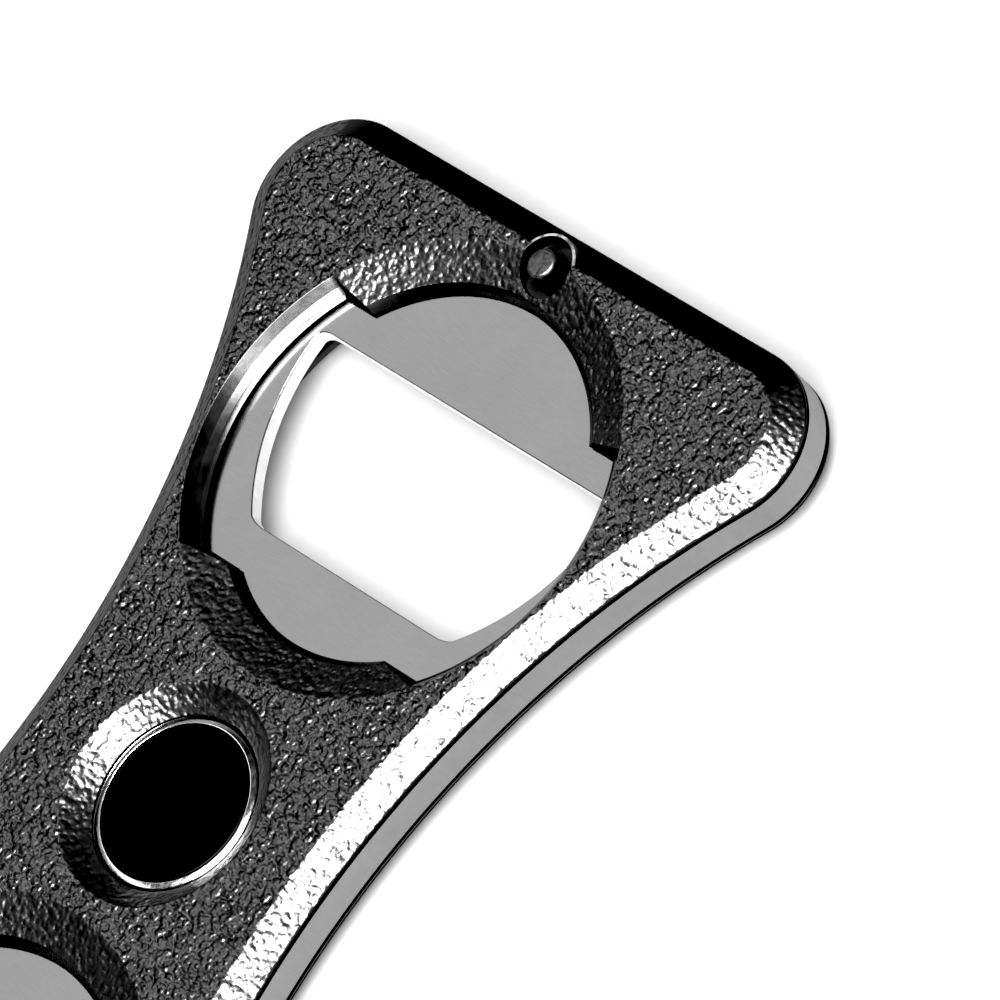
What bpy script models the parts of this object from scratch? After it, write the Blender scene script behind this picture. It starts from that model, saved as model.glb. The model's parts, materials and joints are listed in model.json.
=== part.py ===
"""Double-ended keychain bottle opener: a steel core plate between two textured covers.

Metres, +Z up. The opener lies flat with its long axis on Y, the opener end at +Y and the
key ring at -Y. The origin is under the centre of the magnet, on the surface it rests on.
"""
import math

import bmesh
import bpy

# Driving dimensions
WINDOW_RADIUS = 0.0170
GAP = 0.00025
COVER_THICKNESS = 0.0016
PLATE_THICKNESS = 0.00245

# Outline, in proportion to the round windows
WINDOW_OFFSET = 1.58 * WINDOW_RADIUS
HALF_LENGTH = WINDOW_OFFSET + 1.145 * WINDOW_RADIUS
WAIST_HALF_WIDTH = 0.885 * WINDOW_RADIUS
WAIST_RADIUS = 4.15 * WINDOW_RADIUS
CORNER_RADIUS = 0.38 * WINDOW_RADIUS
CHAMFER_WIDTH = 0.115 * WINDOW_RADIUS
CHAMFER_HEIGHT = 0.080 * WINDOW_RADIUS
OUTLINE_STEPS_SIDE = 16
OUTLINE_STEPS_CORNER = 10

# Heights of the sandwich
REAR_INNER_Z = COVER_THICKNESS
PLATE_BOTTOM_Z = REAR_INNER_Z + GAP
PLATE_TOP_Z = PLATE_BOTTOM_Z + PLATE_THICKNESS
FRONT_INNER_Z = PLATE_TOP_Z + GAP
TOP_Z = FRONT_INNER_Z + COVER_THICKNESS
MIDDLE_Z = TOP_Z / 2
OVERCUT = 0.0010

# Round window in each cover: a sloped ring with a short wall, opened to full radius across the middle
WINDOW_WALL_RADIUS = 0.834 * WINDOW_RADIUS
WINDOW_FOOT_RADIUS = 0.800 * WINDOW_RADIUS
WINDOW_SLOPE_DEPTH = 0.060 * WINDOW_RADIUS
BAND_FOOT_RADIUS = 0.940 * WINDOW_RADIUS
BAND_OUTER_Y = 0.508 * WINDOW_RADIUS
BAND_INNER_Y = -0.710 * WINDOW_RADIUS
BAND_DRAFT = 0.042 * WINDOW_RADIUS
WINDOW_SEGMENTS = 72

# Cap lifter cut-out in the plate, from the centre of its window
LIFTER_LIP_Y = 0.318 * WINDOW_RADIUS
LIFTER_HEEL_Y = -0.482 * WINDOW_RADIUS
LIFTER_HALF_WIDTH = 0.885 * WINDOW_RADIUS
LIFTER_OFFSET_X = 0.040 * WINDOW_RADIUS
LIFTER_SIDE_RADIUS = 1.050 * WINDOW_RADIUS
LIFTER_SIDE_Y = 0.250 * WINDOW_RADIUS
LIFTER_EDGE_HEIGHT = 0.00125
LIFTER_SIDE_STEPS = 12
LIFTER_CORNER_RADIUS = 0.0011
LIFTER_CORNER_STEPS = 3

# Magnet in the middle
RECESS_RADIUS = 0.481 * WINDOW_RADIUS
CUP_RADIUS = 0.0062
CUP_WALL = 0.00032
CUP_FLOOR = 0.0006
CUP_TOP_Z = TOP_Z - 0.080 * WINDOW_RADIUS
MAGNET_SEGMENTS = 64

# Dowel pin in its pocket at the opener end
PIN_RADIUS = 0.0011
PIN_Y = WINDOW_OFFSET + 0.975 * WINDOW_RADIUS
PIN_PROUD = 0.00045
PIN_REAR_Z = 0.00035
POCKET_RADIUS = 0.00215
POCKET_FLOOR = 0.00045
PIN_SEGMENTS = 32

# Screws from the rear into bosses under the front cover
SCREW_Y = HALF_LENGTH - CORNER_RADIUS
SCREW_SHANK_RADIUS = 0.0009
SCREW_HEAD_RADIUS = 0.0019
SCREW_HEAD_HEIGHT = 0.0009
SCREW_HEAD_Z = 0.00015
SCREW_TIP_Z = FRONT_INNER_Z + 0.0005
SCREW_DRIVE_RADIUS = 0.00075
SCREW_DRIVE_DEPTH = 0.0006
BOSS_RADIUS = 0.0021
BOSS_BORE_RADIUS = SCREW_SHANK_RADIUS + GAP
BOSS_BORE_TOP_Z = FRONT_INNER_Z + 0.0009
SCREW_SEGMENTS = 24

# Link and split ring at the key ring end
LINK_WIRE_RADIUS = 0.00065
LINK_BEND_RADIUS = 0.002325
LINK_HOLE_RADIUS = 0.0025
LINK_HOLE_Y = -(WINDOW_OFFSET + 0.641 * WINDOW_RADIUS)
LINK_INNER_BEND_Y = LINK_HOLE_Y - LINK_HOLE_RADIUS - 0.0007
LINK_OUTER_BEND_Y = -HALF_LENGTH - 0.0012
LINK_SLOT_HALF_WIDTH = POCKET_RADIUS
LINK_BEND_STEPS = 12
RING_RADIUS = 0.0110
RING_BAND_WIDTH = 0.0016
RING_BAND_HEIGHT = 0.0020
RING_HINGE_Y = -HALF_LENGTH - 0.00150
RING_DROOP = math.asin((MIDDLE_Z - RING_BAND_HEIGHT / 2 - 0.00012) / (2 * RING_RADIUS))
RING_SEGMENTS = 72


def clear_scene():
    """Remove every object that the scene starts with."""
    for thing in list(bpy.data.objects):
        bpy.data.objects.remove(thing, do_unlink=True)


def new_collection(name):
    """Make a collection and link it to the scene."""
    group = bpy.data.collections.new(name)
    bpy.context.scene.collection.children.link(group)
    return group


def material(name, colour, roughness, metallic):
    """A Principled BSDF finish."""
    finish = bpy.data.materials.new(name)
    finish.use_nodes = True
    shader = finish.node_tree.nodes["Principled BSDF"]
    shader.inputs["Base Color"].default_value = (*colour, 1.0)
    shader.inputs["Roughness"].default_value = roughness
    shader.inputs["Metallic"].default_value = metallic
    return finish


def black_plastic():
    """Moulded black plastic of the covers."""
    return material("textured_black_plastic", (0.02, 0.02, 0.021), 0.55, 0.0)


def brushed_steel():
    """Stainless steel of the core plate."""
    return material("brushed_steel", (0.55, 0.55, 0.56), 0.35, 1.0)


def bright_steel():
    """Plated steel of the cup, pin, screws, link and ring."""
    return material("bright_steel", (0.75, 0.75, 0.76), 0.15, 1.0)


def black_ferrite():
    """Magnet material."""
    return material("black_ferrite", (0.008, 0.008, 0.009), 0.2, 0.0)


def add_object(mesh_builder, name, group, finish=None):
    """Turn a bmesh into a named object in a collection."""
    mesh = bpy.data.meshes.new(name)
    bmesh.ops.recalc_face_normals(mesh_builder, faces=mesh_builder.faces)
    mesh_builder.to_mesh(mesh)
    mesh_builder.free()
    thing = bpy.data.objects.new(name, mesh)
    group.objects.link(thing)
    if finish is not None:
        mesh.materials.append(finish)
    return thing


def arc(centre_x, centre_y, radius, start, end, steps):
    """Points on an arc, both ends included; angles in radians."""
    points = []
    for step in range(steps + 1):
        angle = start + (end - start) * step / steps
        points.append((centre_x + radius * math.cos(angle), centre_y + radius * math.sin(angle)))
    return points


def quarter_outline():
    """Outline from the middle of the waist to the middle of the opener end, for x >= 0."""
    side_x = WAIST_HALF_WIDTH + WAIST_RADIUS
    corner_y = HALF_LENGTH - CORNER_RADIUS
    reach = WAIST_RADIUS + CORNER_RADIUS
    corner_x = side_x - math.sqrt(reach ** 2 - corner_y ** 2)
    meeting = math.asin(corner_y / reach)
    side = arc(side_x, 0.0, WAIST_RADIUS, math.pi, math.pi - meeting, OUTLINE_STEPS_SIDE)
    corner = arc(corner_x, corner_y, CORNER_RADIUS, -meeting, math.pi / 2, OUTLINE_STEPS_CORNER)
    return side + corner[1:], corner_x


def full_outline():
    """The whole outline, counter-clockwise, by mirroring its quarter."""
    quarter, _ = quarter_outline()
    right_top = quarter
    left_top = [(-x, y) for x, y in reversed(quarter)]
    left_bottom = [(-x, -y) for x, y in quarter[1:]]
    right_bottom = [(x, -y) for x, y in reversed(quarter[1:])]
    return right_top + left_top + left_bottom + right_bottom


def prism(points, bottom, top):
    """A bmesh prism over a flat outline."""
    builder = bmesh.new()
    corners = [builder.verts.new((x, y, bottom)) for x, y in points]
    face = builder.faces.new(corners)
    raised = bmesh.ops.extrude_face_region(builder, geom=[face])
    moved = [item for item in raised["geom"] if isinstance(item, bmesh.types.BMVert)]
    bmesh.ops.translate(builder, verts=moved, vec=(0.0, 0.0, top - bottom))
    bmesh.ops.recalc_face_normals(builder, faces=builder.faces)
    return builder


def top_face(builder):
    """The highest face that looks up."""
    return max(builder.faces, key=lambda face: (round(face.calc_center_median().z, 7), face.calc_area()))


def cylinder(radius, bottom, top, x, y, segments):
    """A bmesh cylinder standing at (x, y)."""
    return cone(radius, radius, bottom, top, x, y, segments)


def cone(radius_bottom, radius_top, bottom, top, x, y, segments):
    """A bmesh frustum standing at (x, y)."""
    builder = bmesh.new()
    made = bmesh.ops.create_cone(builder, cap_ends=True, cap_tris=False, segments=segments,
                                 radius1=radius_bottom, radius2=radius_top, depth=top - bottom)
    bmesh.ops.translate(builder, verts=made["verts"], vec=(x, y, (bottom + top) / 2))
    return builder


def box(low, high):
    """A bmesh box between two corners."""
    builder = bmesh.new()
    made = bmesh.ops.create_cube(builder, size=1.0)
    size = [high[axis] - low[axis] for axis in range(3)]
    middle = [(high[axis] + low[axis]) / 2 for axis in range(3)]
    bmesh.ops.scale(builder, verts=made["verts"], vec=size)
    bmesh.ops.translate(builder, verts=made["verts"], vec=middle)
    return builder


def turned(profile, x, y, segments, name, group, finish=None):
    """A turned piece: a (radius, height) profile run top to bottom, spun by a Screw modifier."""
    builder = bmesh.new()
    points = [builder.verts.new((radius, 0.0, height)) for radius, height in profile]
    for first, second in zip(points, points[1:]):
        builder.edges.new((first, second))
    mesh = bpy.data.meshes.new(name)
    builder.to_mesh(mesh)
    builder.free()
    thing = bpy.data.objects.new(name, mesh)
    thing.location = (x, y, 0.0)
    group.objects.link(thing)
    if finish is not None:
        mesh.materials.append(finish)
    spin = thing.modifiers.new("spin", "SCREW")
    spin.steps = segments
    spin.render_steps = segments
    spin.use_merge_vertices = True
    spin.merge_threshold = 0.00001
    return thing


def as_cutter(thing):
    """Mark an object as a cutter that is never rendered."""
    thing.hide_render = True
    thing.display_type = "WIRE"
    return thing


def combine(thing, other, operation):
    """Add an exact Boolean to an object."""
    modifier = thing.modifiers.new(operation.lower(), "BOOLEAN")
    modifier.operation = operation
    modifier.solver = "EXACT"
    modifier.object = other
    return modifier


def shade_round(thing):
    """Smooth shading with crisp edges."""
    thing.data.shade_smooth()
    thing.data.set_sharp_from_angle(angle=math.radians(30))


def window_slope_cutter(end, group):
    """Turned cutter for the sloped ring and the short wall of one window."""
    depth = TOP_Z - FRONT_INNER_Z
    profile = [
        (0.0, TOP_Z + OVERCUT),
        (WINDOW_RADIUS, TOP_Z + OVERCUT),
        (WINDOW_RADIUS, TOP_Z),
        (WINDOW_WALL_RADIUS, TOP_Z - WINDOW_SLOPE_DEPTH),
        (WINDOW_FOOT_RADIUS, TOP_Z - depth),
        (WINDOW_FOOT_RADIUS, FRONT_INNER_Z - OVERCUT),
        (0.0, FRONT_INNER_Z - OVERCUT),
    ]
    cutter = turned(profile, 0.0, end * WINDOW_OFFSET, WINDOW_SEGMENTS, f"window_slope_{end}", group)
    return as_cutter(cutter)


def window_band_cutter(end, group):
    """Cutter for the stretch of the window that opens to the full radius between two step walls."""
    profile = [
        (0.0, TOP_Z + OVERCUT),
        (WINDOW_RADIUS, TOP_Z + OVERCUT),
        (WINDOW_RADIUS, TOP_Z),
        (BAND_FOOT_RADIUS, FRONT_INNER_Z),
        (BAND_FOOT_RADIUS, FRONT_INNER_Z - OVERCUT),
        (0.0, FRONT_INNER_Z - OVERCUT),
    ]
    cutter = turned(profile, 0.0, end * WINDOW_OFFSET, WINDOW_SEGMENTS, f"window_band_{end}", group)
    outer = end * (WINDOW_OFFSET + BAND_OUTER_Y)
    inner = end * (WINDOW_OFFSET + BAND_INNER_Y)
    reach = WINDOW_RADIUS + OVERCUT
    slab = box((-reach, min(outer, inner), FRONT_INNER_Z - OVERCUT),
               (reach, max(outer, inner), TOP_Z + OVERCUT))
    narrow = BAND_DRAFT * (COVER_THICKNESS + 2 * OVERCUT) / COVER_THICKNESS
    middle = (outer + inner) / 2
    for corner in slab.verts:
        if corner.co.z < FRONT_INNER_Z:
            corner.co.y += narrow if corner.co.y < middle else -narrow
        widen = BAND_DRAFT * OVERCUT / COVER_THICKNESS
        corner.co.y += -widen if corner.co.y < middle else widen
    band_slab = as_cutter(add_object(slab, f"window_band_slab_{end}", group))
    combine(cutter, band_slab, "INTERSECT")
    return as_cutter(cutter)


def recess_cutter(group):
    """Turned cutter for the bevelled recess around the magnet."""
    foot = CUP_RADIUS + GAP
    profile = [
        (0.0, TOP_Z + OVERCUT),
        (RECESS_RADIUS, TOP_Z + OVERCUT),
        (RECESS_RADIUS, TOP_Z),
        (foot, FRONT_INNER_Z + 0.00015),
        (foot, FRONT_INNER_Z - OVERCUT),
        (0.0, FRONT_INNER_Z - OVERCUT),
    ]
    return as_cutter(turned(profile, 0.0, 0.0, WINDOW_SEGMENTS, "magnet_recess", group))


def cover_blank(name, group, finish):
    """A cover seen from its outside: the outline with its chamfered upper edge."""
    land = COVER_THICKNESS - CHAMFER_HEIGHT
    builder = prism(full_outline(), FRONT_INNER_Z, FRONT_INNER_Z + land)
    face = top_face(builder)
    bmesh.ops.inset_region(builder, faces=[face], thickness=CHAMFER_WIDTH, depth=0.0, use_even_offset=True)
    bmesh.ops.translate(builder, verts=list(face.verts), vec=(0.0, 0.0, CHAMFER_HEIGHT))
    return add_object(builder, name, group, finish)


def cut_windows(cover, cutters):
    """Open both round windows."""
    for end in (1, -1):
        combine(cover, window_slope_cutter(end, cutters), "DIFFERENCE")
        combine(cover, window_band_cutter(end, cutters), "DIFFERENCE")


def cut_pin_pocket(cover, cutters):
    """Pocket around the dowel pin, with the pin's own hole in its floor."""
    floor = FRONT_INNER_Z + POCKET_FLOOR
    pocket = cylinder(POCKET_RADIUS, floor, TOP_Z + OVERCUT, 0.0, PIN_Y, PIN_SEGMENTS)
    hole = cylinder(PIN_RADIUS + GAP, FRONT_INNER_Z - OVERCUT, TOP_Z, 0.0, PIN_Y, PIN_SEGMENTS)
    combine(cover, as_cutter(add_object(pocket, "pin_pocket", cutters)), "DIFFERENCE")
    combine(cover, as_cutter(add_object(hole, "pin_hole", cutters)), "DIFFERENCE")


def cut_link_slot(cover, cutters):
    """Slot across the key ring end that lets the link lie round the plate."""
    inner = -(WINDOW_OFFSET + WINDOW_FOOT_RADIUS - OVERCUT)
    slot = box((-LINK_SLOT_HALF_WIDTH, -HALF_LENGTH - OVERCUT, FRONT_INNER_Z - OVERCUT),
               (LINK_SLOT_HALF_WIDTH, inner, TOP_Z + OVERCUT))
    combine(cover, as_cutter(add_object(slot, "link_slot", cutters)), "DIFFERENCE")


def corner_places():
    """The four screw places, named by end and side."""
    _, corner_x = quarter_outline()
    places = []
    for end, end_name in ((1, "opener"), (-1, "ring")):
        for side, side_name in ((-1, "left"), (1, "right")):
            places.append((f"{end_name}_{side_name}", side * corner_x, end * SCREW_Y))
    return places


def make_front_cover(parts, cutters, finish):
    """Front cover: windows, magnet recess, pin pocket, link slot and four screw bosses."""
    cover = cover_blank("front_cover", parts, finish)
    for name, x, y in corner_places():
        boss = cylinder(BOSS_RADIUS, PLATE_BOTTOM_Z + 0.0001, FRONT_INNER_Z + 0.0004, x, y, SCREW_SEGMENTS)
        combine(cover, as_cutter(add_object(boss, f"boss_{name}", cutters)), "UNION")
    for name, x, y in corner_places():
        bore = cylinder(BOSS_BORE_RADIUS, PLATE_BOTTOM_Z - OVERCUT, BOSS_BORE_TOP_Z, x, y, SCREW_SEGMENTS)
        combine(cover, as_cutter(add_object(bore, f"boss_bore_{name}", cutters)), "DIFFERENCE")
    cut_windows(cover, cutters)
    combine(cover, recess_cutter(cutters), "DIFFERENCE")
    cut_pin_pocket(cover, cutters)
    cut_link_slot(cover, cutters)
    return cover


def make_rear_cover(parts, cutters, finish):
    """Rear cover: the same moulding turned over, closed in the middle, countersunk for the screws."""
    cover = cover_blank("rear_cover", parts, finish)
    cut_windows(cover, cutters)
    cut_pin_pocket(cover, cutters)
    cut_link_slot(cover, cutters)
    for name, x, y in corner_places():
        head = SCREW_HEAD_RADIUS + GAP
        hole = SCREW_SHANK_RADIUS + GAP
        seat = TOP_Z - SCREW_HEAD_Z
        profile = [
            (0.0, TOP_Z + OVERCUT),
            (head, TOP_Z + OVERCUT),
            (head, seat),
            (hole, seat - SCREW_HEAD_HEIGHT),
            (hole, FRONT_INNER_Z - OVERCUT),
            (0.0, FRONT_INNER_Z - OVERCUT),
        ]
        sink = as_cutter(turned(profile, -x, y, SCREW_SEGMENTS, f"countersink_{name}", cutters))
        combine(cover, sink, "DIFFERENCE")
    return cover


def settle(thing):
    """Replace an object's mesh with its evaluated one and drop its modifiers."""
    graph = bpy.context.evaluated_depsgraph_get()
    mesh = bpy.data.meshes.new_from_object(thing.evaluated_get(graph))
    thing.modifiers.clear()
    thing.data = mesh
    return thing


def turn_over(cover):
    """Turn a cover about the long axis so that it becomes the rear one."""
    cover.rotation_euler = (0.0, math.pi, 0.0)
    cover.location = (0.0, 0.0, TOP_Z)


def lifter_outline(end):
    """Cap lifter cut-out of one window: straight lip and heel between two round sides."""
    side_x = LIFTER_SIDE_RADIUS - LIFTER_HALF_WIDTH
    start = math.asin((LIFTER_HEEL_Y - LIFTER_SIDE_Y) / LIFTER_SIDE_RADIUS)
    stop = math.asin((LIFTER_LIP_Y - LIFTER_SIDE_Y) / LIFTER_SIDE_RADIUS)
    right = arc(-side_x, LIFTER_SIDE_Y, LIFTER_SIDE_RADIUS, start, stop, LIFTER_SIDE_STEPS)
    left = [(-x, y) for x, y in reversed(right)]
    return [(end * (x + LIFTER_OFFSET_X), end * (y + WINDOW_OFFSET)) for x, y in right + left]


def lifter_prism(end, bottom, top):
    """Prism over the cut-out, with its four upright corners rounded."""
    builder = prism(lifter_outline(end), bottom, top)
    corners = []
    for edge in builder.edges:
        upright = abs(edge.verts[0].co.z - edge.verts[1].co.z) > (top - bottom) / 2
        if upright and edge.calc_face_angle() > math.radians(20):
            corners.append(edge)
    bmesh.ops.bevel(builder, geom=corners, offset=LIFTER_CORNER_RADIUS, offset_type="OFFSET",
                    segments=LIFTER_CORNER_STEPS, profile=0.5, affect="EDGES")
    return builder


def cut_lifter(plate, end, cutters):
    """Cap lifter: a straight opening with its rear edge bevelled thin."""
    opening = lifter_prism(end, PLATE_BOTTOM_Z - OVERCUT, PLATE_TOP_Z + OVERCUT)
    combine(plate, as_cutter(add_object(opening, f"lifter_{end}", cutters)), "DIFFERENCE")
    bevel = PLATE_THICKNESS - LIFTER_EDGE_HEIGHT
    relief = lifter_prism(end, PLATE_BOTTOM_Z - bevel, PLATE_TOP_Z - LIFTER_EDGE_HEIGHT)
    bottom = min(relief.faces, key=lambda face: face.calc_center_median().z)
    centre = bottom.calc_center_median()
    reach_x = LIFTER_HALF_WIDTH
    reach_y = (LIFTER_LIP_Y - LIFTER_HEEL_Y) / 2
    for corner in bottom.verts:
        corner.co.x = centre.x + (corner.co.x - centre.x) * (reach_x + 2 * bevel) / reach_x
        corner.co.y = centre.y + (corner.co.y - centre.y) * (reach_y + 2 * bevel) / reach_y
    combine(plate, as_cutter(add_object(relief, f"lifter_relief_{end}", cutters)), "DIFFERENCE")


def make_plate(parts, cutters, finish):
    """Steel core plate with its openings and holes."""
    plate = add_object(prism(full_outline(), PLATE_BOTTOM_Z, PLATE_TOP_Z), "opener_plate", parts, finish)
    for end in (1, -1):
        cut_lifter(plate, end, cutters)
    low = PLATE_BOTTOM_Z - OVERCUT
    high = PLATE_TOP_Z + OVERCUT
    holes = [("magnet", CUP_RADIUS + GAP, 0.0, 0.0, MAGNET_SEGMENTS),
             ("pin", PIN_RADIUS + GAP, 0.0, PIN_Y, PIN_SEGMENTS),
             ("link", LINK_HOLE_RADIUS, 0.0, LINK_HOLE_Y, PIN_SEGMENTS)]
    for name, x, y in corner_places():
        holes.append((f"boss_{name}", BOSS_RADIUS + GAP, x, y, SCREW_SEGMENTS))
    for name, radius, x, y, segments in holes:
        hole = cylinder(radius, low, high, x, y, segments)
        combine(plate, as_cutter(add_object(hole, f"plate_hole_{name}", cutters)), "DIFFERENCE")
    return plate


def make_magnet_cup(parts, finish):
    """Thin steel cup that holds the magnet."""
    inner = CUP_RADIUS - CUP_WALL
    profile = [
        (0.0, PLATE_BOTTOM_Z + CUP_FLOOR),
        (inner, PLATE_BOTTOM_Z + CUP_FLOOR),
        (inner, CUP_TOP_Z),
        (CUP_RADIUS, CUP_TOP_Z),
        (CUP_RADIUS, PLATE_BOTTOM_Z),
        (0.0, PLATE_BOTTOM_Z),
    ]
    return turned(profile, 0.0, 0.0, MAGNET_SEGMENTS, "magnet_cup", parts, finish)


def make_magnet(parts, finish):
    """Round magnet, its face just inside the cup's rim."""
    radius = CUP_RADIUS - CUP_WALL - 0.0002
    profile = [
        (0.0, CUP_TOP_Z - 0.00005),
        (radius - 0.0001, CUP_TOP_Z - 0.00005),
        (radius, CUP_TOP_Z - 0.00015),
        (radius, PLATE_BOTTOM_Z + CUP_FLOOR + GAP),
        (0.0, PLATE_BOTTOM_Z + CUP_FLOOR + GAP),
    ]
    return turned(profile, 0.0, 0.0, MAGNET_SEGMENTS, "magnet_disc", parts, finish)


def make_pin(parts, finish):
    """Dowel pin through both covers and the plate, with broken edges."""
    top = TOP_Z + PIN_PROUD
    edge = 0.00018
    profile = [
        (0.0, top),
        (PIN_RADIUS - edge, top),
        (PIN_RADIUS, top - edge),
        (PIN_RADIUS, PIN_REAR_Z + edge),
        (PIN_RADIUS - edge, PIN_REAR_Z),
        (0.0, PIN_REAR_Z),
    ]
    return turned(profile, 0.0, PIN_Y, PIN_SEGMENTS, "end_pin", parts, finish)


def make_screw(place, parts, cutters, finish):
    """Countersunk screw from the rear, with a hexagon drive."""
    name, x, y = place
    profile = [
        (0.0, SCREW_TIP_Z),
        (SCREW_SHANK_RADIUS - 0.0002, SCREW_TIP_Z),
        (SCREW_SHANK_RADIUS, SCREW_TIP_Z - 0.0003),
        (SCREW_SHANK_RADIUS, SCREW_HEAD_Z + SCREW_HEAD_HEIGHT),
        (SCREW_HEAD_RADIUS, SCREW_HEAD_Z + 0.0001),
        (SCREW_HEAD_RADIUS, SCREW_HEAD_Z),
        (0.0, SCREW_HEAD_Z),
    ]
    screw = turned(profile, x, y, SCREW_SEGMENTS, f"cover_screw_{name}", parts, finish)
    drive = cylinder(SCREW_DRIVE_RADIUS, SCREW_HEAD_Z - OVERCUT, SCREW_HEAD_Z + SCREW_DRIVE_DEPTH, x, y, 6)
    combine(screw, as_cutter(add_object(drive, f"drive_{name}", cutters)), "DIFFERENCE")
    return screw


def link_route():
    """Centre line of the link: a long loop standing on edge, round the plate."""
    inner = LINK_INNER_BEND_Y
    outer = LINK_OUTER_BEND_Y
    near = arc(inner, MIDDLE_Z, LINK_BEND_RADIUS, -math.pi / 2, math.pi / 2, LINK_BEND_STEPS)
    far = arc(outer, MIDDLE_Z, LINK_BEND_RADIUS, math.pi / 2, 3 * math.pi / 2, LINK_BEND_STEPS)
    return near + far


def make_link(parts, finish):
    """Wire link: a closed curve with a round section, in a mesh with its origin on the hinge axis."""
    route = link_route()
    hinge_y = (LINK_HOLE_Y - LINK_HOLE_RADIUS - HALF_LENGTH) / 2
    shape = bpy.data.curves.new("ring_link", "CURVE")
    shape.dimensions = "3D"
    shape.bevel_depth = LINK_WIRE_RADIUS
    shape.bevel_resolution = 3
    spline = shape.splines.new("POLY")
    spline.points.add(len(route) - 1)
    for point, (y, z) in zip(spline.points, route):
        point.co = (0.0, y - hinge_y, z - MIDDLE_Z, 1.0)
    spline.use_cyclic_u = True
    link = bpy.data.objects.new("ring_link", shape)
    link.location = (0.0, hinge_y, MIDDLE_Z)
    parts.objects.link(link)
    shape.materials.append(finish)
    return link


def make_key_ring(parts, finish):
    """Split ring as one turned band, drooping from its hinge in the link to the surface."""
    outer = RING_RADIUS + RING_BAND_WIDTH / 2
    inner = RING_RADIUS - RING_BAND_WIDTH / 2
    half = RING_BAND_HEIGHT / 2
    edge = 0.0003
    profile = [
        (inner, half - edge),
        (inner + edge, half),
        (outer - edge, half),
        (outer, half - edge),
        (outer, edge - half),
        (outer - edge, -half),
        (inner + edge, -half),
        (inner, edge - half),
        (inner, half - edge),
    ]
    builder = bmesh.new()
    points = [builder.verts.new((radius, 0.0, height)) for radius, height in profile[:-1]]
    for index, point in enumerate(points):
        builder.edges.new((point, points[(index + 1) % len(points)]))
    bmesh.ops.spin(builder, geom=list(builder.verts) + list(builder.edges), axis=(0, 0, 1), cent=(0, 0, 0),
                   steps=RING_SEGMENTS, angle=2 * math.pi, use_duplicate=False)
    bmesh.ops.remove_doubles(builder, verts=builder.verts, dist=0.000001)
    bmesh.ops.translate(builder, verts=builder.verts, vec=(0.0, -RING_RADIUS, 0.0))
    ring = add_object(builder, "key_ring", parts, finish)
    ring.location = (0.0, RING_HINGE_Y, MIDDLE_Z)
    ring.rotation_euler = (RING_DROOP, 0.0, 0.0)
    return ring


def main():
    """Build every piece of the opener."""
    clear_scene()
    parts = new_collection("keychain_bottle_opener")
    cutters = new_collection("cutters")
    plastic = black_plastic()
    steel = brushed_steel()
    bright = bright_steel()
    ferrite = black_ferrite()
    pieces = [
        make_front_cover(parts, cutters, plastic),
        make_rear_cover(parts, cutters, plastic),
        make_plate(parts, cutters, steel),
        make_magnet_cup(parts, bright),
        make_magnet(parts, ferrite),
        make_pin(parts, bright),
    ]
    for place in corner_places():
        pieces.append(make_screw(place, parts, cutters, bright))
    for piece in pieces:
        settle(piece)
        shade_round(piece)
    turn_over(pieces[1])
    make_link(parts, bright)
    shade_round(make_key_ring(parts, bright))


if __name__ == "__main__":
    main()
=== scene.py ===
"""Looks of a double-ended keychain bottle opener: a steel plate between two pebbled covers.

Every size is in metres and +Z is up. The opener lies flat with its long axis on Y, the
opener end at +Y and the key ring at -Y.
"""
import json
import logging
import math
from dataclasses import dataclass, field
from enum import Enum
from typing import Callable, Sequence

import bmesh
import bpy
from mathutils import Euler, Matrix, Vector


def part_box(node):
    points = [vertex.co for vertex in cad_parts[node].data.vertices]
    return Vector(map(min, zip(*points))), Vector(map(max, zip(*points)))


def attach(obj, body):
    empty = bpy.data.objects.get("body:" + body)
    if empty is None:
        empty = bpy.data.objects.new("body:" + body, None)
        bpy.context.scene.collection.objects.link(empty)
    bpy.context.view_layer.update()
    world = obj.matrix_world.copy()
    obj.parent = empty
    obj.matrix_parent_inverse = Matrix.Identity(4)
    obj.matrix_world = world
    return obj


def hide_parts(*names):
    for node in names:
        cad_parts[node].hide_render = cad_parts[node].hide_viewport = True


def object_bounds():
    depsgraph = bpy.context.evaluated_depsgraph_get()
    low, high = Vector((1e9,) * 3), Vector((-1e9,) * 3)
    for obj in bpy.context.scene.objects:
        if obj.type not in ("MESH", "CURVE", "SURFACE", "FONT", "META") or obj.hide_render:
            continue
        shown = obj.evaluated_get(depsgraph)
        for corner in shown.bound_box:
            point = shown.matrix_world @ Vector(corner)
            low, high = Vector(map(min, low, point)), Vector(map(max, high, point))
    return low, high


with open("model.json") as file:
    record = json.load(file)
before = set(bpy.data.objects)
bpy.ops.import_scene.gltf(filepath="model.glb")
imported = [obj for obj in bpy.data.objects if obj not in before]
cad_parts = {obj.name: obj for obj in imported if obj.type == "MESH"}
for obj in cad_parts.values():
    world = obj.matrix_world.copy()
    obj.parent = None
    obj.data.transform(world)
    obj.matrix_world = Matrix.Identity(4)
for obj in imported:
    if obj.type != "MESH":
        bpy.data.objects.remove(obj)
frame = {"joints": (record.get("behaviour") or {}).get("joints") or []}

LOG = logging.getLogger("opener")
MM = 0.001
CARVING_SCALE = 1000.0
CARVING_MERGE = 0.002
WINDOW_RADIUS = 17.0 * MM
PIN_HOLE_RADIUS = 1.35 * MM
MAGNET_HOLE_RADIUS = 6.45 * MM
PAPER_GAP = 0.02 * MM
STEEL_HINT = (1.0, 1.0, 1.01)
CAD_LOW, CAD_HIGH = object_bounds()

Point2 = tuple[float, float]
Corner = tuple[float, float, float]
Stops = Sequence[tuple[float, float]]
Mesh = bmesh.types.BMesh
Thing = bpy.types.Object
Finish = bpy.types.Material
Value = bpy.types.NodeSocket


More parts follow.
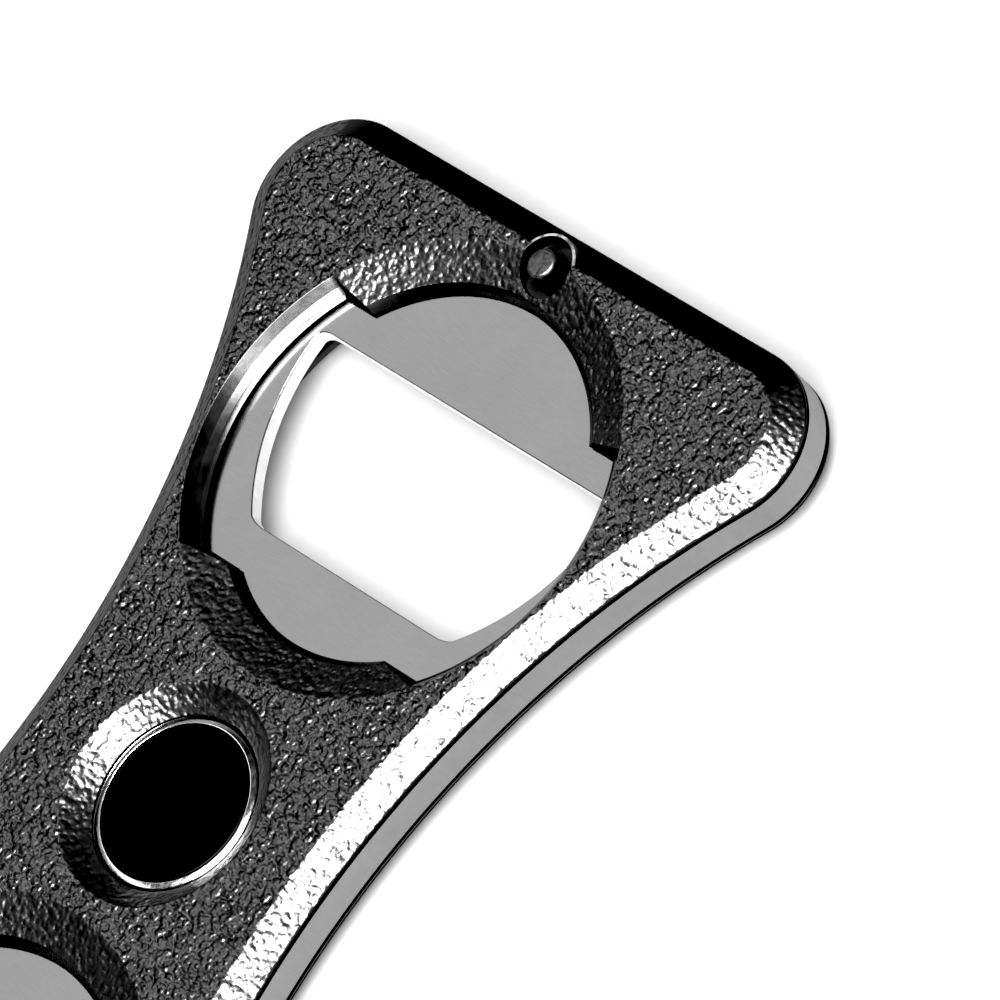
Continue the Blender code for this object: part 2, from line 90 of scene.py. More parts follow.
class Body(Enum):
    """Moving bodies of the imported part."""

    OPENER = "opener_body"
    LINK = "link"
    RING = "ring"


class Slot(Enum):
    """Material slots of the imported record."""

    COVER = "cover"
    PLATE = "plate"
    BRIGHT = "bright"
    FERRITE = "ferrite"
    FASTENER = "fastener"


class Side(Enum):
    """The two faces of the opener."""

    FRONT = 1
    REAR = -1


class End(Enum):
    """The two ends of the opener, by the sign of their Y."""

    OPENER = 1
    RING = -1


# ---------------------------------------------------------------- shapes


def arc(centre: Point2, radius: float, start: float, stop: float, steps: int) -> list[Point2]:
    """Points on an arc, both ends included.

    Args:
        centre: Middle of the arc.
        radius: Its radius.
        start: First angle, in radians.
        stop: Last angle, in radians.
        steps: Number of chords.

    Returns:
        The points in order.
    """
    turn = (stop - start) / steps
    angles = [start + turn * step for step in range(steps + 1)]
    return [(centre[0] + radius * math.cos(a), centre[1] + radius * math.sin(a)) for a in angles]


def filleted(corners: Sequence[Corner], steps: int = 6) -> list[Point2]:
    """Rounds the corners of a run of straight lines.

    Args:
        corners: (across, height, radius) of each corner; the two ends stay sharp.
        steps: Chords in each rounded corner.

    Returns:
        The points of the rounded run.
    """
    points: list[Point2] = []
    last = len(corners) - 1
    for index, (across, height, radius) in enumerate(corners):
        if radius <= 0.0 or index in (0, last):
            points.append((across, height))
            continue
        here = Vector((across, height))
        back = Vector(corners[index - 1][:2]) - here
        ahead = Vector(corners[index + 1][:2]) - here
        half = back.angle(ahead) / 2
        run = min(radius / math.tan(half), 0.49 * back.length, 0.49 * ahead.length)
        true_radius = run * math.tan(half)
        middle = (back.normalized() + ahead.normalized()).normalized()
        centre = here + middle * (true_radius / math.sin(half))
        first = here + back.normalized() * run - centre
        final = here + ahead.normalized() * run - centre
        begin = math.atan2(first.y, first.x)
        sweep = (math.atan2(final.y, final.x) - begin + math.pi) % (2 * math.pi) - math.pi
        points += arc((centre.x, centre.y), true_radius, begin, begin + sweep, steps)
    return points


def grown(points: Sequence[Point2], distance: float) -> list[Point2]:
    """Moves a counter-clockwise outline outwards by the same distance all round.

    Args:
        points: The outline.
        distance: How far it moves; negative moves it inwards.

    Returns:
        The moved outline, with as many points.
    """
    moved = []
    for index, (x, y) in enumerate(points):
        before = Vector(points[index - 1])
        after = Vector(points[(index + 1) % len(points)])
        into = (Vector((x, y)) - before).normalized()
        out = (after - Vector((x, y))).normalized()
        normal = Vector((into.y + out.y, -into.x - out.x)).normalized()
        mitre = max(0.5, normal.dot(Vector((into.y, -into.x))))
        moved.append((x + normal.x * distance / mitre, y + normal.y * distance / mitre))
    return moved


def lofted(rings: Sequence[Sequence[Vector]], finishes: Sequence[int] = (),
           closed: bool = False) -> Mesh:
    """A solid through rings of points.

    Args:
        rings: Rings with as many points each.
        finishes: Material index of the strip after each ring; 0 where it is left out.
        closed: True if the last ring joins the first, as in a closed wire.

    Returns:
        A bmesh whose open ends are capped.
    """
    builder = bmesh.new()
    made = [[builder.verts.new(point) for point in ring] for ring in rings]
    count = len(made[0])
    pairs = list(zip(made, made[1:]))
    if closed:
        pairs.append((made[-1], made[0]))
    for strip, (low, high) in enumerate(pairs):
        for index in range(count):
            after = (index + 1) % count
            face = builder.faces.new((low[index], low[after], high[after], high[index]))
            face.material_index = finishes[strip] if strip < len(finishes) else 0
    if not closed:
        builder.faces.new(list(reversed(made[0])))
        builder.faces.new(made[-1])
    bmesh.ops.recalc_face_normals(builder, faces=builder.faces)
    return builder


def lathe(profile: Sequence[Point2], centre: Point2, segments: int,
          finish_at: Callable[[float, float], int] | None = None) -> Mesh:
    """A turned solid.

    Args:
        profile: (radius, height) points that start and end on the axis.
        centre: Where the axis stands.
        segments: Steps round the axis.
        finish_at: Gives the material index from a strip's middle radius and height.

    Returns:
        The solid as a bmesh.
    """
    builder = bmesh.new()
    angles = [2 * math.pi * s / segments for s in range(segments)]
    spokes = [(math.cos(angle), math.sin(angle)) for angle in angles]
    rows = []
    for radius, height in profile:
        if radius < 1e-9:
            rows.append([builder.verts.new((centre[0], centre[1], height))])
        else:
            rows.append([builder.verts.new((centre[0] + radius * c, centre[1] + radius * s, height))
                         for c, s in spokes])
    for index, (low, high) in enumerate(zip(rows, rows[1:])):
        middle_radius = (profile[index][0] + profile[index + 1][0]) / 2
        middle_height = (profile[index][1] + profile[index + 1][1]) / 2
        finish = finish_at(middle_radius, middle_height) if finish_at else 0
        for spoke in range(segments):
            after = (spoke + 1) % segments
            corners = list(dict.fromkeys((low[spoke % len(low)], low[after % len(low)],
                                          high[after % len(high)], high[spoke % len(high)])))
            if len(corners) > 2:
                builder.faces.new(corners).material_index = finish
    bmesh.ops.recalc_face_normals(builder, faces=builder.faces)
    return builder


def slab(low: Sequence[float], high: Sequence[float], finish: int = 0) -> Mesh:
    """A straight-sided block between two corners.

    Args:
        low: Its lowest corner.
        high: Its highest corner.
        finish: Material index of all its faces.

    Returns:
        The block as a bmesh.
    """
    around = ((low[0], low[1]), (high[0], low[1]), (high[0], high[1]), (low[0], high[1]))
    rings = [[Vector((x, y, z)) for x, y in around] for z in (low[2], high[2])]
    builder = lofted(rings)
    for face in builder.faces:
        face.material_index = finish
    return builder


def thing_from(builder: Mesh, name: str, finishes: Sequence[Finish]) -> Thing:
    """Turns a bmesh into an object of the scene.

    Args:
        builder: The mesh, which is freed.
        name: Name of the object.
        finishes: Its materials, in the order of its material indices.

    Returns:
        The new object.
    """
    mesh = bpy.data.meshes.new(name)
    builder.to_mesh(mesh)
    builder.free()
    for finish in finishes:
        mesh.materials.append(finish)
    thing = bpy.data.objects.new(name, mesh)
    bpy.context.scene.collection.objects.link(thing)
    return thing


def settle(thing: Thing) -> None:
    """Applies every modifier of an object.

    Args:
        thing: The object.
    """
    graph = bpy.context.evaluated_depsgraph_get()
    mesh = bpy.data.meshes.new_from_object(thing.evaluated_get(graph), depsgraph=graph)
    mesh.name = thing.name
    thing.modifiers.clear()
    thing.data = mesh


def carve(thing: Thing, tools: Sequence[Mesh], operation: str = "DIFFERENCE") -> None:
    """Cuts away, adds or keeps the overlap with each tool in turn.

    Args:
        thing: The object that is worked on.
        tools: The tools, which are used up.
        operation: Name of the Boolean operation.
    """
    blocks = []
    thing.data.transform(Matrix.Scale(CARVING_SCALE, 4))
    for index, tool in enumerate(tools):
        block = thing_from(tool, f"tool_{index}", list(thing.data.materials))
        block.data.transform(Matrix.Scale(CARVING_SCALE, 4))
        modifier = thing.modifiers.new(block.name, "BOOLEAN")
        modifier.operation = operation
        modifier.solver = "EXACT"
        modifier.object = block
        blocks.append(block)
    settle(thing)
    clean = bmesh.new()
    clean.from_mesh(thing.data)
    bmesh.ops.remove_doubles(clean, verts=clean.verts, dist=CARVING_MERGE)
    bmesh.ops.dissolve_degenerate(clean, edges=clean.edges, dist=CARVING_MERGE)
    clean.to_mesh(thing.data)
    clean.free()
    thing.data.transform(Matrix.Scale(1.0 / CARVING_SCALE, 4))
    for block in blocks:
        bpy.data.objects.remove(block, do_unlink=True)


def soften(thing: Thing, width: float, sharp_deg: float = 28.0) -> None:
    """Breaks the sharp edges and shades the rest smoothly.

    Args:
        thing: The object.
        width: Width of the broken edges; 0 leaves the edges as they are.
        sharp_deg: Edges sharper than this are broken.
    """
    if width > 0.0:
        bevel = thing.modifiers.new("broken_edges", "BEVEL")
        bevel.width = width
        bevel.segments = 2
        bevel.limit_method = "ANGLE"
        bevel.angle_limit = math.radians(sharp_deg)
        bevel.use_clamp_overlap = True
        bevel.miter_outer = "MITER_ARC"
        settle(thing)
    thing.data.shade_smooth()
    thing.data.set_sharp_from_angle(angle=math.radians(42.0))
    weighted = thing.modifiers.new("weighted_normals", "WEIGHTED_NORMAL")
    weighted.keep_sharp = True
    weighted.weight = 90
    settle(thing)


def place(thing: Thing, body: Body, slot: Slot, *nodes: str) -> Thing:
    """Puts a finished piece on its body in place of its CAD nodes, and reports it.

    Args:
        thing: The piece.
        body: The body it rides on.
        slot: The record's material slot; not used.
        *nodes: The CAD nodes that it stands for.

    Returns:
        The same piece.
    """
    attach(thing, body.value)
    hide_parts(*nodes)
    faces = len(thing.data.polygons)
    LOG.info("%s: %d faces, on %s, for %s", thing.name, faces, body.value, ", ".join(nodes))
    return thing


def finished(builder: Mesh, name: str, coats: Sequence[Finish], body: Body, slot: Slot, node: str) -> Thing:
    """Makes a piece from its mesh, shades it and puts it in place.

    Args:
        builder: The mesh, which is freed.
        name: Name of the piece.
        coats: Its materials, in the order of its material indices.
        body: The body it rides on.
        slot: The record's material slot.
        node: The CAD node that it stands for.

    Returns:
        The piece.
    """
    thing = thing_from(builder, name, coats)
    soften(thing, 0.0)
    return place(thing, body, slot, node)


# ---------------------------------------------------------------- finishes


class Bench:
    """Lays out the nodes of one material."""

    def __init__(self, name: str) -> None:
        """Makes the material.

        Args:
            name: Name of the material.
        """
        self.material = bpy.data.materials.new(name)
        self.material.use_nodes = True
        self.tree = self.material.node_tree
        self.shader = self.tree.nodes["Principled BSDF"]
        self.places = self.add("ShaderNodeTexCoord").outputs["Object"]

    def add(self, kind: str, **settings: object) -> bpy.types.Node:
        """Adds a node.

        Args:
            kind: Type of the node.
            **settings: Its properties.

        Returns:
            The node.
        """
        node = self.tree.nodes.new(kind)
        for key, value in settings.items():
            setattr(node, key, value)
        return node

    def fix(self, **values: object) -> None:
        """Sets the shader's own sockets, named with _ for spaces.

        Args:
            **values: The values.
        """
        for key, value in values.items():
            self.shader.inputs[key.replace("_", " ")].default_value = value

    def join(self, source: Value, socket: str) -> None:
        """Links a value to one of the shader's sockets."""
        self.tree.links.new(source, self.shader.inputs[socket])

    def stretched(self, stretch: Sequence[float], turn_deg: float = 0.0) -> Value:
        """Object coordinates turned about Z and stretched.

        Args:
            stretch: Factor on each axis.
            turn_deg: The turn, in degrees.

        Returns:
            The coordinates' socket.
        """
        mapping = self.add("ShaderNodeMapping")
        mapping.inputs["Rotation"].default_value = (0.0, 0.0, math.radians(turn_deg))
        mapping.inputs["Scale"].default_value = stretch
        self.tree.links.new(self.places, mapping.inputs["Vector"])
        return mapping.outputs["Vector"]

    def noise(self, scale: float, detail: float = 2.0, roughness: float = 0.5, distortion: float = 0.0,
              at: Value | None = None) -> Value:
        """Fractal noise.

        Args:
            scale: Waves to the metre.
            detail: Octaves.
            roughness: Weight of the finer octaves.
            distortion: Swirl.
            at: Coordinates; the object's own if left out.

        Returns:
            The noise, from 0 to 1.
        """
        node = self.add("ShaderNodeTexNoise")
        node.inputs["Scale"].default_value = scale
        node.inputs["Detail"].default_value = detail
        node.inputs["Roughness"].default_value = roughness
        node.inputs["Distortion"].default_value = distortion
        self.tree.links.new(at or self.places, node.inputs["Vector"])
        return node.outputs[0]

    def cells(self, scale: float, smoothness: float, at: Value | None = None) -> Value:
        """Distance to the nearest of scattered points, smoothed.

        Args:
            scale: Cells to the metre.
            smoothness: How far neighbouring cells run together.
            at: Coordinates; the object's own if left out.

        Returns:
            The distance.
        """
        node = self.add("ShaderNodeTexVoronoi", feature="SMOOTH_F1")
        node.inputs["Scale"].default_value = scale
        node.inputs["Smoothness"].default_value = smoothness
        self.tree.links.new(at or self.places, node.inputs["Vector"])
        return node.outputs["Distance"]

    def sum_of(self, *terms: tuple[Value, float], start: float = 0.0) -> Value:
        """Weighted sum.

        Args:
            *terms: (value, weight) pairs.
            start: A constant that is added.

        Returns:
            The sum.
        """
        total: Value | None = None
        for value, weight in terms:
            node = self.add("ShaderNodeMath", operation="MULTIPLY_ADD")
            self.tree.links.new(value, node.inputs[0])
            node.inputs[1].default_value = weight
            if total is None:
                node.inputs[2].default_value = start
            else:
                self.tree.links.new(total, node.inputs[2])
            total = node.outputs[0]
        return total

    def ramp(self, value: Value, stops: Stops,
             tint: Sequence[float] = (1.0, 1.0, 1.0)) -> Value:
        """Grey steps along a value.

        Args:
            value: The value.
            stops: (place, grey) pairs, lowest first.
            tint: Colour that every grey is multiplied by.

        Returns:
            The colour.
        """
        node = self.add("ShaderNodeValToRGB")
        for index, (position, grey) in enumerate(stops):
            elements = node.color_ramp.elements
            stop = elements[index] if index < 2 else elements.new(position)
            stop.position = position
            stop.color = (grey * tint[0], grey * tint[1], grey * tint[2], 1.0)
        self.tree.links.new(value, node.inputs["Fac"])
        return node.outputs["Color"]

    def coat(self, colour: Value, greys: Stops, gloss: Value, roughnesses: Stops,
             tint: Sequence[float] = (1.0, 1.0, 1.0)) -> None:
        """Drives the base colour and the roughness.

        Args:
            colour: What drives the colour.
            greys: (place, grey) pairs.
            gloss: What drives the roughness.
            roughnesses: (place, roughness) pairs.
            tint: Colour that every grey is multiplied by.
        """
        self.join(self.ramp(colour, greys, tint), "Base Color")
        self.join(self.ramp(gloss, roughnesses), "Roughness")

    def bump(self, height: Value, depth: float) -> None:
        """Raises the surface by a height map.

        Args:
            height: The map.
            depth: Height of one unit, in metres.
        """
        node = self.add("ShaderNodeBump")
        node.inputs["Strength"].default_value = 1.0
        node.inputs["Distance"].default_value = depth
        self.tree.links.new(height, node.inputs["Height"])
        self.join(node.outputs["Normal"], "Normal")


@dataclass(frozen=True)
class PebbledPlastic:
    """Black moulded plastic with a fine pebble grain."""

    name: str = "pebbled_black_plastic"
    grain: float = 2200.0
    depth: float = 0.00019
    specular: float = 1.0

    def build(self) -> Finish:
        """Makes the material.

        Returns:
            The material.
        """
        bench = Bench(self.name)
        pebbles = bench.cells(self.grain, 0.5)
        folds = bench.noise(self.grain * 0.85, detail=1.0, roughness=0.4)
        fine = bench.noise(self.grain * 2.6, detail=2.0, roughness=0.5)
        height = bench.sum_of((pebbles, -0.7), (folds, 1.0), (fine, 0.10), start=0.3)
        bench.bump(height, self.depth)
        broad = bench.noise(90.0, detail=3.0)
        mixed = bench.sum_of((broad, 0.6), (fine, 0.4))
        bench.coat(mixed, ((0.3, 0.0010), (0.7, 0.0024)), folds, ((0.25, 0.26), (0.75, 0.36)))
        bench.fix(Specular_IOR_Level=self.specular)
        return bench.material


@dataclass(frozen=True)
class SmoothPlastic:
    """The same plastic where the mould was polished: walls, lands and the inside."""

    specular: float = 0.15

    def build(self) -> Finish:
        """Makes the material.

        Returns:
            The material.
        """
        bench = Bench("smooth_black_plastic")
        waves = bench.noise(700.0, detail=2.0)
        fine = bench.noise(6000.0, detail=1.0)
        bench.bump(bench.sum_of((waves, 0.7), (fine, 0.3)), 0.000012)
        bench.coat(waves, ((0.3, 0.0010), (0.7, 0.0022)), fine, ((0.3, 0.26), (0.7, 0.34)))
        bench.fix(Specular_IOR_Level=self.specular)
        return bench.material


@dataclass(frozen=True)
class PolishedPlastic:
    """Glossy black plastic of the walls that face into the windows."""

    specular: float = 1.0
    roughness: float = 0.20

    def build(self) -> Finish:
        """Makes the material.

        Returns:
            The material.
        """
        bench = Bench("polished_black_plastic")
        waves = bench.noise(900.0, detail=2.0)
        bench.bump(waves, 0.00001)
        gloss = ((0.3, self.roughness * 0.9), (0.7, self.roughness * 1.1))
        bench.coat(waves, ((0.3, 0.001), (0.7, 0.003)), waves, gloss)
        bench.fix(Specular_IOR_Level=self.specular)
        return bench.material


@dataclass(frozen=True)
class BrushedSteel:
    """Stainless sheet with a fine lengthwise brushing."""

    name: str = "brushed_stainless"
    grey: float = 0.53
    roughness: float = 0.14
    turn_deg: float = 63.6

    def build(self) -> Finish:
        """Makes the material.

        Returns:
            The material.
        """
        bench = Bench(self.name)
        along = bench.stretched((1.0, 14.0, 1.0), self.turn_deg)
        lines = bench.noise(900.0, detail=4.0, roughness=0.6, at=along)
        cloud = bench.noise(220.0, detail=3.0)
        mixed = bench.sum_of((lines, 0.6), (cloud, 0.4))
        greys = ((0.3, self.grey * 0.92), (0.7, self.grey * 1.06))
        gloss = ((0.3, self.roughness * 0.85), (0.7, self.roughness * 1.15))
        bench.coat(mixed, greys, lines, gloss, STEEL_HINT)
        bench.bump(lines, 0.000006)
        bench.fix(Metallic=1.0)
        return bench.material


@dataclass(frozen=True)
class PlatedSteel:
    """Bright plated steel with light handling marks."""

    name: str = "bright_plated_steel"
    grey: float = 0.78
    roughness: float = 0.16

    def build(self) -> Finish:
        """Makes the material.

        Returns:
            The material.
        """
        bench = Bench(self.name)
        along = bench.stretched((1.0, 0.25, 1.0), 35.0)
        marks = bench.noise(2600.0, detail=4.0, roughness=0.65, at=along)
        cloud = bench.noise(420.0, detail=2.0)
        greys = ((0.3, self.grey * 0.93), (0.7, self.grey * 1.03))
        gloss = ((0.35, self.roughness * 0.8), (0.7, self.roughness * 1.7))
        bench.coat(cloud, greys, marks, gloss)
        bench.bump(marks, 0.000004)
        bench.fix(Metallic=1.0)
        return bench.material


@dataclass(frozen=True)
class WornPin:
    """Ground steel with scratches and dull patches."""

    def build(self) -> Finish:
        """Makes the material.

        Returns:
            The material.
        """
        bench = Bench("worn_ground_steel")
        patches = bench.noise(1900.0, detail=3.0, roughness=0.6)
        scratches = bench.noise(2400.0, detail=3.0, at=bench.stretched((1.0, 0.12, 1.0), 20.0))
        mixed = bench.sum_of((patches, 0.6), (scratches, 0.4))
        bench.coat(mixed, ((0.35, 0.06), (0.65, 0.20)), patches, ((0.3, 0.30), (0.7, 0.48)))
        bench.bump(mixed, 0.00003)
        bench.fix(Metallic=1.0)
        return bench.material


@dataclass(frozen=True)
class Ferrite:
    """Pressed black magnet material."""

    def build(self) -> Finish:
        """Makes the material.

        Returns:
            The material.
        """
        bench = Bench("black_ferrite")
        specks = bench.noise(5200.0, detail=2.0)
        bench.coat(specks, ((0.3, 0.0008), (0.7, 0.0018)), specks, ((0.3, 0.30), (0.7, 0.40)))
        bench.bump(specks, 0.000003)
        bench.fix(Specular_IOR_Level=0.06)
        return bench.material


@dataclass(frozen=True)
class PaintedRimHighlight:
    """Pale grey plastic: a painted highlight on the rim round the pin's pocket."""

    def build(self) -> Finish:
        """Makes the material.

        Returns:
            The material.
        """
        bench = Bench("painted_highlight_plastic_rim")
        highlight_mottle = bench.noise(1500.0, detail=3.0)
        # The pale grey base colour is a painted highlight, mottled by noise.
        bench.coat(highlight_mottle, ((0.35, 0.02), (0.6, 0.16)), highlight_mottle, ((0.3, 0.45), (0.7, 0.30)))
        bench.bump(highlight_mottle, 0.00002)
        return bench.material


@dataclass(frozen=True)
class StudioPaper:
    """White background paper that throws less light back than it shows."""

    shown: float = 0.22
    thrown: float = 0.07

    def build(self) -> Finish:
        """Makes the material.

        Returns:
            The material.
        """
        bench = Bench("studio_paper")
        fibres = bench.noise(900.0, detail=4.0)
        path = bench.add("ShaderNodeLightPath").outputs["Is Camera Ray"]
        seen = bench.sum_of((path, self.shown - self.thrown), (fibres, 0.02), start=self.thrown)
        bench.join(seen, "Base Color")
        bench.join(bench.ramp(fibres, ((0.3, 0.85), (0.7, 0.95))), "Roughness")
        bench.bump(fibres, 0.00001)
        bench.fix(Specular_IOR_Level=0.1)
        return bench.material


@dataclass(frozen=True)
class Finishes:
    """One material of each finish."""

    pebbled: Finish
    smooth: Finish
    polished: Finish
    rim_highlight: Finish
    faint: Finish
    steel: Finish
    steel_edge: Finish
    ground: Finish
    pin_side_shade: Finish
    bright: Finish
    pin: Finish
    screw: Finish
    ferrite: Finish
    paper: Finish

    @classmethod
    def make(cls) -> "Finishes":
        """Makes every material.

        Returns:
            The materials, by use.
        """
        recipes = {
            "pebbled": PebbledPlastic(),
            "smooth": SmoothPlastic(),
            "polished": PolishedPlastic(),
            # Pale plastic that paints a highlight on the rim round the pin's pocket.
            "rim_highlight": PaintedRimHighlight(),
            "faint": PebbledPlastic("faintly_pebbled_black_plastic", depth=0.00012),
            "steel": BrushedSteel(),
            "steel_edge": BrushedSteel("tumbled_steel_edge", 0.66, 0.34, 0.0),
            "ground": BrushedSteel("ground_steel_edge", 0.85, 0.70, 0.0),
            # Near-black steel for the pin's sides: painted shade for the pocket round the pin.
            "pin_side_shade": BrushedSteel("painted_shade_steel", 0.04, 0.35, 0.0),
            "bright": PlatedSteel(),
            "pin": WornPin(),
            "screw": BrushedSteel("turned_steel", 0.60, 0.24, 0.0),
            "ferrite": Ferrite(),
            "paper": StudioPaper(),
        }
        return cls(**{use: recipe.build() for use, recipe in recipes.items()})


# ---------------------------------------------------------------- the opener


@dataclass
class Outline:
    """Waisted outline of the opener, from arcs that meet smoothly."""

    radius: float
    half_length: float
    side_steps: int = 44
    corner_steps: int = 26
    waist_half: float = field(init=False)
    waist_radius: float = field(init=False)
    corner_radius: float = field(init=False)
    side_x: float = field(init=False)
    corner_x: float = field(init=False)
    corner_y: float = field(init=False)
    meeting: float = field(init=False)

    def __post_init__(self) -> None:
        """Works the arcs out from the window radius."""
        self.waist_half = 0.885 * self.radius
        self.waist_radius = 4.15 * self.radius
        self.corner_radius = 0.38 * self.radius
        self.side_x = self.waist_half + self.waist_radius
        self.corner_y = self.half_length - self.corner_radius
        reach = self.waist_radius + self.corner_radius
        self.corner_x = self.side_x - math.sqrt(reach ** 2 - self.corner_y ** 2)
        self.meeting = math.asin(self.corner_y / reach)

    def inset(self, distance: float) -> list[Point2]:
        """The outline, counter-clockwise, moved inwards.

        Args:
            distance: How far it is moved.

        Returns:
            Its points; as many for any distance.
        """
        side = arc((self.side_x, 0.0), self.waist_radius + distance,
                   math.pi, math.pi - self.meeting, self.side_steps)
        corner = arc((self.corner_x, self.corner_y), self.corner_radius - distance,
                     -self.meeting, math.pi / 2, self.corner_steps)
        quarter = side + corner[1:]
        left_top = [(-x, y) for x, y in reversed(quarter)]
        left_bottom = [(-x, -y) for x, y in quarter[1:]]
        right_bottom = [(x, -y) for x, y in reversed(quarter[1:])]
        return quarter + left_top + left_bottom + right_bottom

    def shell(self, profile: Sequence[Point2]) -> list[list[Vector]]:
        """Rings of the outline along an (inset, height) profile.

        Args:
            profile: The profile.

        Returns:
            One ring for each of its points.
        """
        return [[Vector((x, y, z)) for x, y in self.inset(distance)] for distance, z in profile]


@dataclass
class Stack:
    """Heights of the sandwich and the round windows in it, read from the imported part."""

    radius: float = WINDOW_RADIUS
    top: float = field(init=False)
    front_inner: float = field(init=False)
    plate_top: float = field(init=False)
    plate_bottom: float = field(init=False)
    rear_inner: float = field(init=False)
    half_length: float = field(init=False)
    window_y: float = field(init=False)
    outline: Outline = field(init=False)

    def __post_init__(self) -> None:
        """Reads the heights from the CAD boxes."""
        plate_low, plate_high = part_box("opener_plate")
        self.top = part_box("front_cover")[1].z
        self.plate_bottom, self.plate_top = plate_low.z, plate_high.z
        self.rear_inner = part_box("rear_cover")[1].z
        self.front_inner = self.top - self.rear_inner
        self.half_length = plate_high.y
        self.window_y = 1.58 * self.radius
        self.outline = Outline(self.radius, self.half_length)

    @property
    def pin_y(self) -> float:
        """Where the dowel pin stands."""
        low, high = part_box("end_pin")
        return (low.y + high.y) / 2

    def screw_centres(self) -> dict[str, Point2]:
        """Screw nodes and where they stand.

        Returns:
            The centre of each screw, by node name.
        """
        names = [f"cover_screw_{end}_{side}" for end in ("opener", "ring") for side in ("left", "right")]
        boxes = {name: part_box(name) for name in names}
        return {name: ((low.x + high.x) / 2, (low.y + high.y) / 2) for name, (low, high) in boxes.items()}


@dataclass
class Cover:
    """One moulded cover: windows, pin pocket, link slot, and the magnet recess or the countersinks."""

    stack: Stack
    finishes: Finishes
    side: Side
    over: float = 1.0 * MM
    chamfer_width: float = 0.115 * WINDOW_RADIUS
    chamfer_height: float = 0.080 * WINDOW_RADIUS
    slope_depth: float = 0.060 * WINDOW_RADIUS
    wall_radius: float = 0.834 * WINDOW_RADIUS
    foot_radius: float = 0.800 * WINDOW_RADIUS
    band_foot_radius: float = 0.940 * WINDOW_RADIUS
    band_outer: float = 0.508 * WINDOW_RADIUS
    band_inner: float = -0.710 * WINDOW_RADIUS
    band_draft: float = 0.042 * WINDOW_RADIUS
    recess_radius: float = 0.481 * WINDOW_RADIUS
    recess_foot: float = MAGNET_HOLE_RADIUS
    pocket_radius: float = 2.15 * MM
    pocket_floor: float = 0.45 * MM
    collar_wall: float = 0.26 * MM
    boss_radius: float = 2.1 * MM
    bore_radius: float = 1.15 * MM
    sink_radius: float = 2.15 * MM
    end_chamfer: float = 0.50
    level: float = 0.98
    segments: int = 160
    pocket_segments: int = 64
    hole_segments: int = 48
    boss_segments: int = 40

    PEBBLED = 0
    SMOOTH = 1
    POLISHED = 2
    # Index 3 is the pale plastic that paints a highlight on the pocket's rim.
    RIM_HIGHLIGHT = 3
    FAINT = 4

    def coats(self) -> tuple[Finish, ...]:
        """The cover's materials, in the order of its material indices."""
        finishes = self.finishes
        return (finishes.pebbled, finishes.smooth, finishes.polished, finishes.rim_highlight, finishes.faint)

    def blank(self) -> Thing:
        """The cover before it is cut, seen from its outside.

        Returns:
            The object.
        """
        bottom, top = self.stack.front_inner, self.stack.top
        corners = (
            (0.70 * MM, bottom, 0.0),
            (0.0, bottom, 0.05 * MM),
            (0.0, top - self.chamfer_height, 0.30 * MM),
            (self.chamfer_width, top, 0.35 * MM),
            (self.chamfer_width + 0.7 * MM, top, 0.0),
        )
        profile = filleted(corners, 6)
        land = top - self.chamfer_height - 0.08 * MM
        middles = [(low[1] + high[1]) / 2 for low, high in zip(profile, profile[1:])]
        strips = [self.SMOOTH if z < land else self.FAINT for z in middles]
        builder = lofted(self.stack.outline.shell(profile), strips)
        for face in builder.faces:
            if face.normal.z > self.level:
                face.material_index = self.PEBBLED
            elif face.normal.z < -self.level or abs(face.normal.y) > self.end_chamfer:
                face.material_index = self.SMOOTH
        name = f"{self.side.name.lower()}_moulding"
        return thing_from(builder, name, self.coats())

    def slope_tool(self, end: End) -> Mesh:
        """Tool for a window's sloped ring and the wall under it.

        Args:
            end: Which window.

        Returns:
            The tool.
        """
        top, bottom, radius = self.stack.top, self.stack.front_inner, self.stack.radius
        corners = (
            (0.0, top + self.over, 0.0),
            (radius + 1.2 * MM, top + self.over, 0.0),
            (radius + 1.2 * MM, top + 0.05 * MM, 0.0),
            (radius, top, 0.9 * MM),
            (self.wall_radius, top - self.slope_depth, 0.12 * MM),
            (self.foot_radius, bottom, 0.0),
            (self.foot_radius - 0.02 * MM, bottom - self.over, 0.0),
            (0.0, bottom - self.over, 0.0),
        )
        knee = top - self.slope_depth - 0.03 * MM
        return lathe(filleted(corners), (0.0, end.value * self.stack.window_y), self.segments,
                     lambda _, z: self.FAINT if z > knee else self.SMOOTH)

    def band_tool(self, end: End) -> Mesh:
        """Tool for the stretch of a window that opens to its full radius between two step walls.

        Args:
            end: Which window.

        Returns:
            The tool.
        """
        top, bottom, radius = self.stack.top, self.stack.front_inner, self.stack.radius
        foot = self.band_foot_radius
        corners = (
            (0.0, top + self.over, 0.0),
            (radius + 0.5 * MM, top + self.over, 0.0),
            (radius + 0.5 * MM, top + 0.05 * MM, 0.0),
            (radius, top, 0.10 * MM),
            (foot + 0.45 * MM, top - 0.66 * MM, 0.06 * MM),
            (foot, top - 1.04 * MM, 0.06 * MM),
            (foot, bottom, 0.0),
            (foot, bottom - self.over, 0.0),
            (0.0, bottom - self.over, 0.0),
        )
        turned = lathe(filleted(corners), (0.0, end.value * self.stack.window_y), self.segments,
                       lambda *_: self.POLISHED)
        ring = thing_from(turned, "band", self.coats())
        outer = end.value * (self.stack.window_y + self.band_outer)
        inner = end.value * (self.stack.window_y + self.band_inner)
        reach = radius + 1.0 * MM
        low = (-reach, min(outer, inner), bottom - self.over)
        high = (reach, max(outer, inner), top + self.over)
        block = slab(low, high, self.SMOOTH)
        thickness = top - bottom
        middle = (outer + inner) / 2
        for corner in block.verts:
            towards = 1.0 if corner.co.y < middle else -1.0
            depth = (top - corner.co.z) / thickness
            corner.co.y += towards * self.band_draft * depth
        carve(ring, [block], "INTERSECT")
        tool = bmesh.new()
        tool.from_mesh(ring.data)
        bpy.data.objects.remove(ring, do_unlink=True)
        return tool

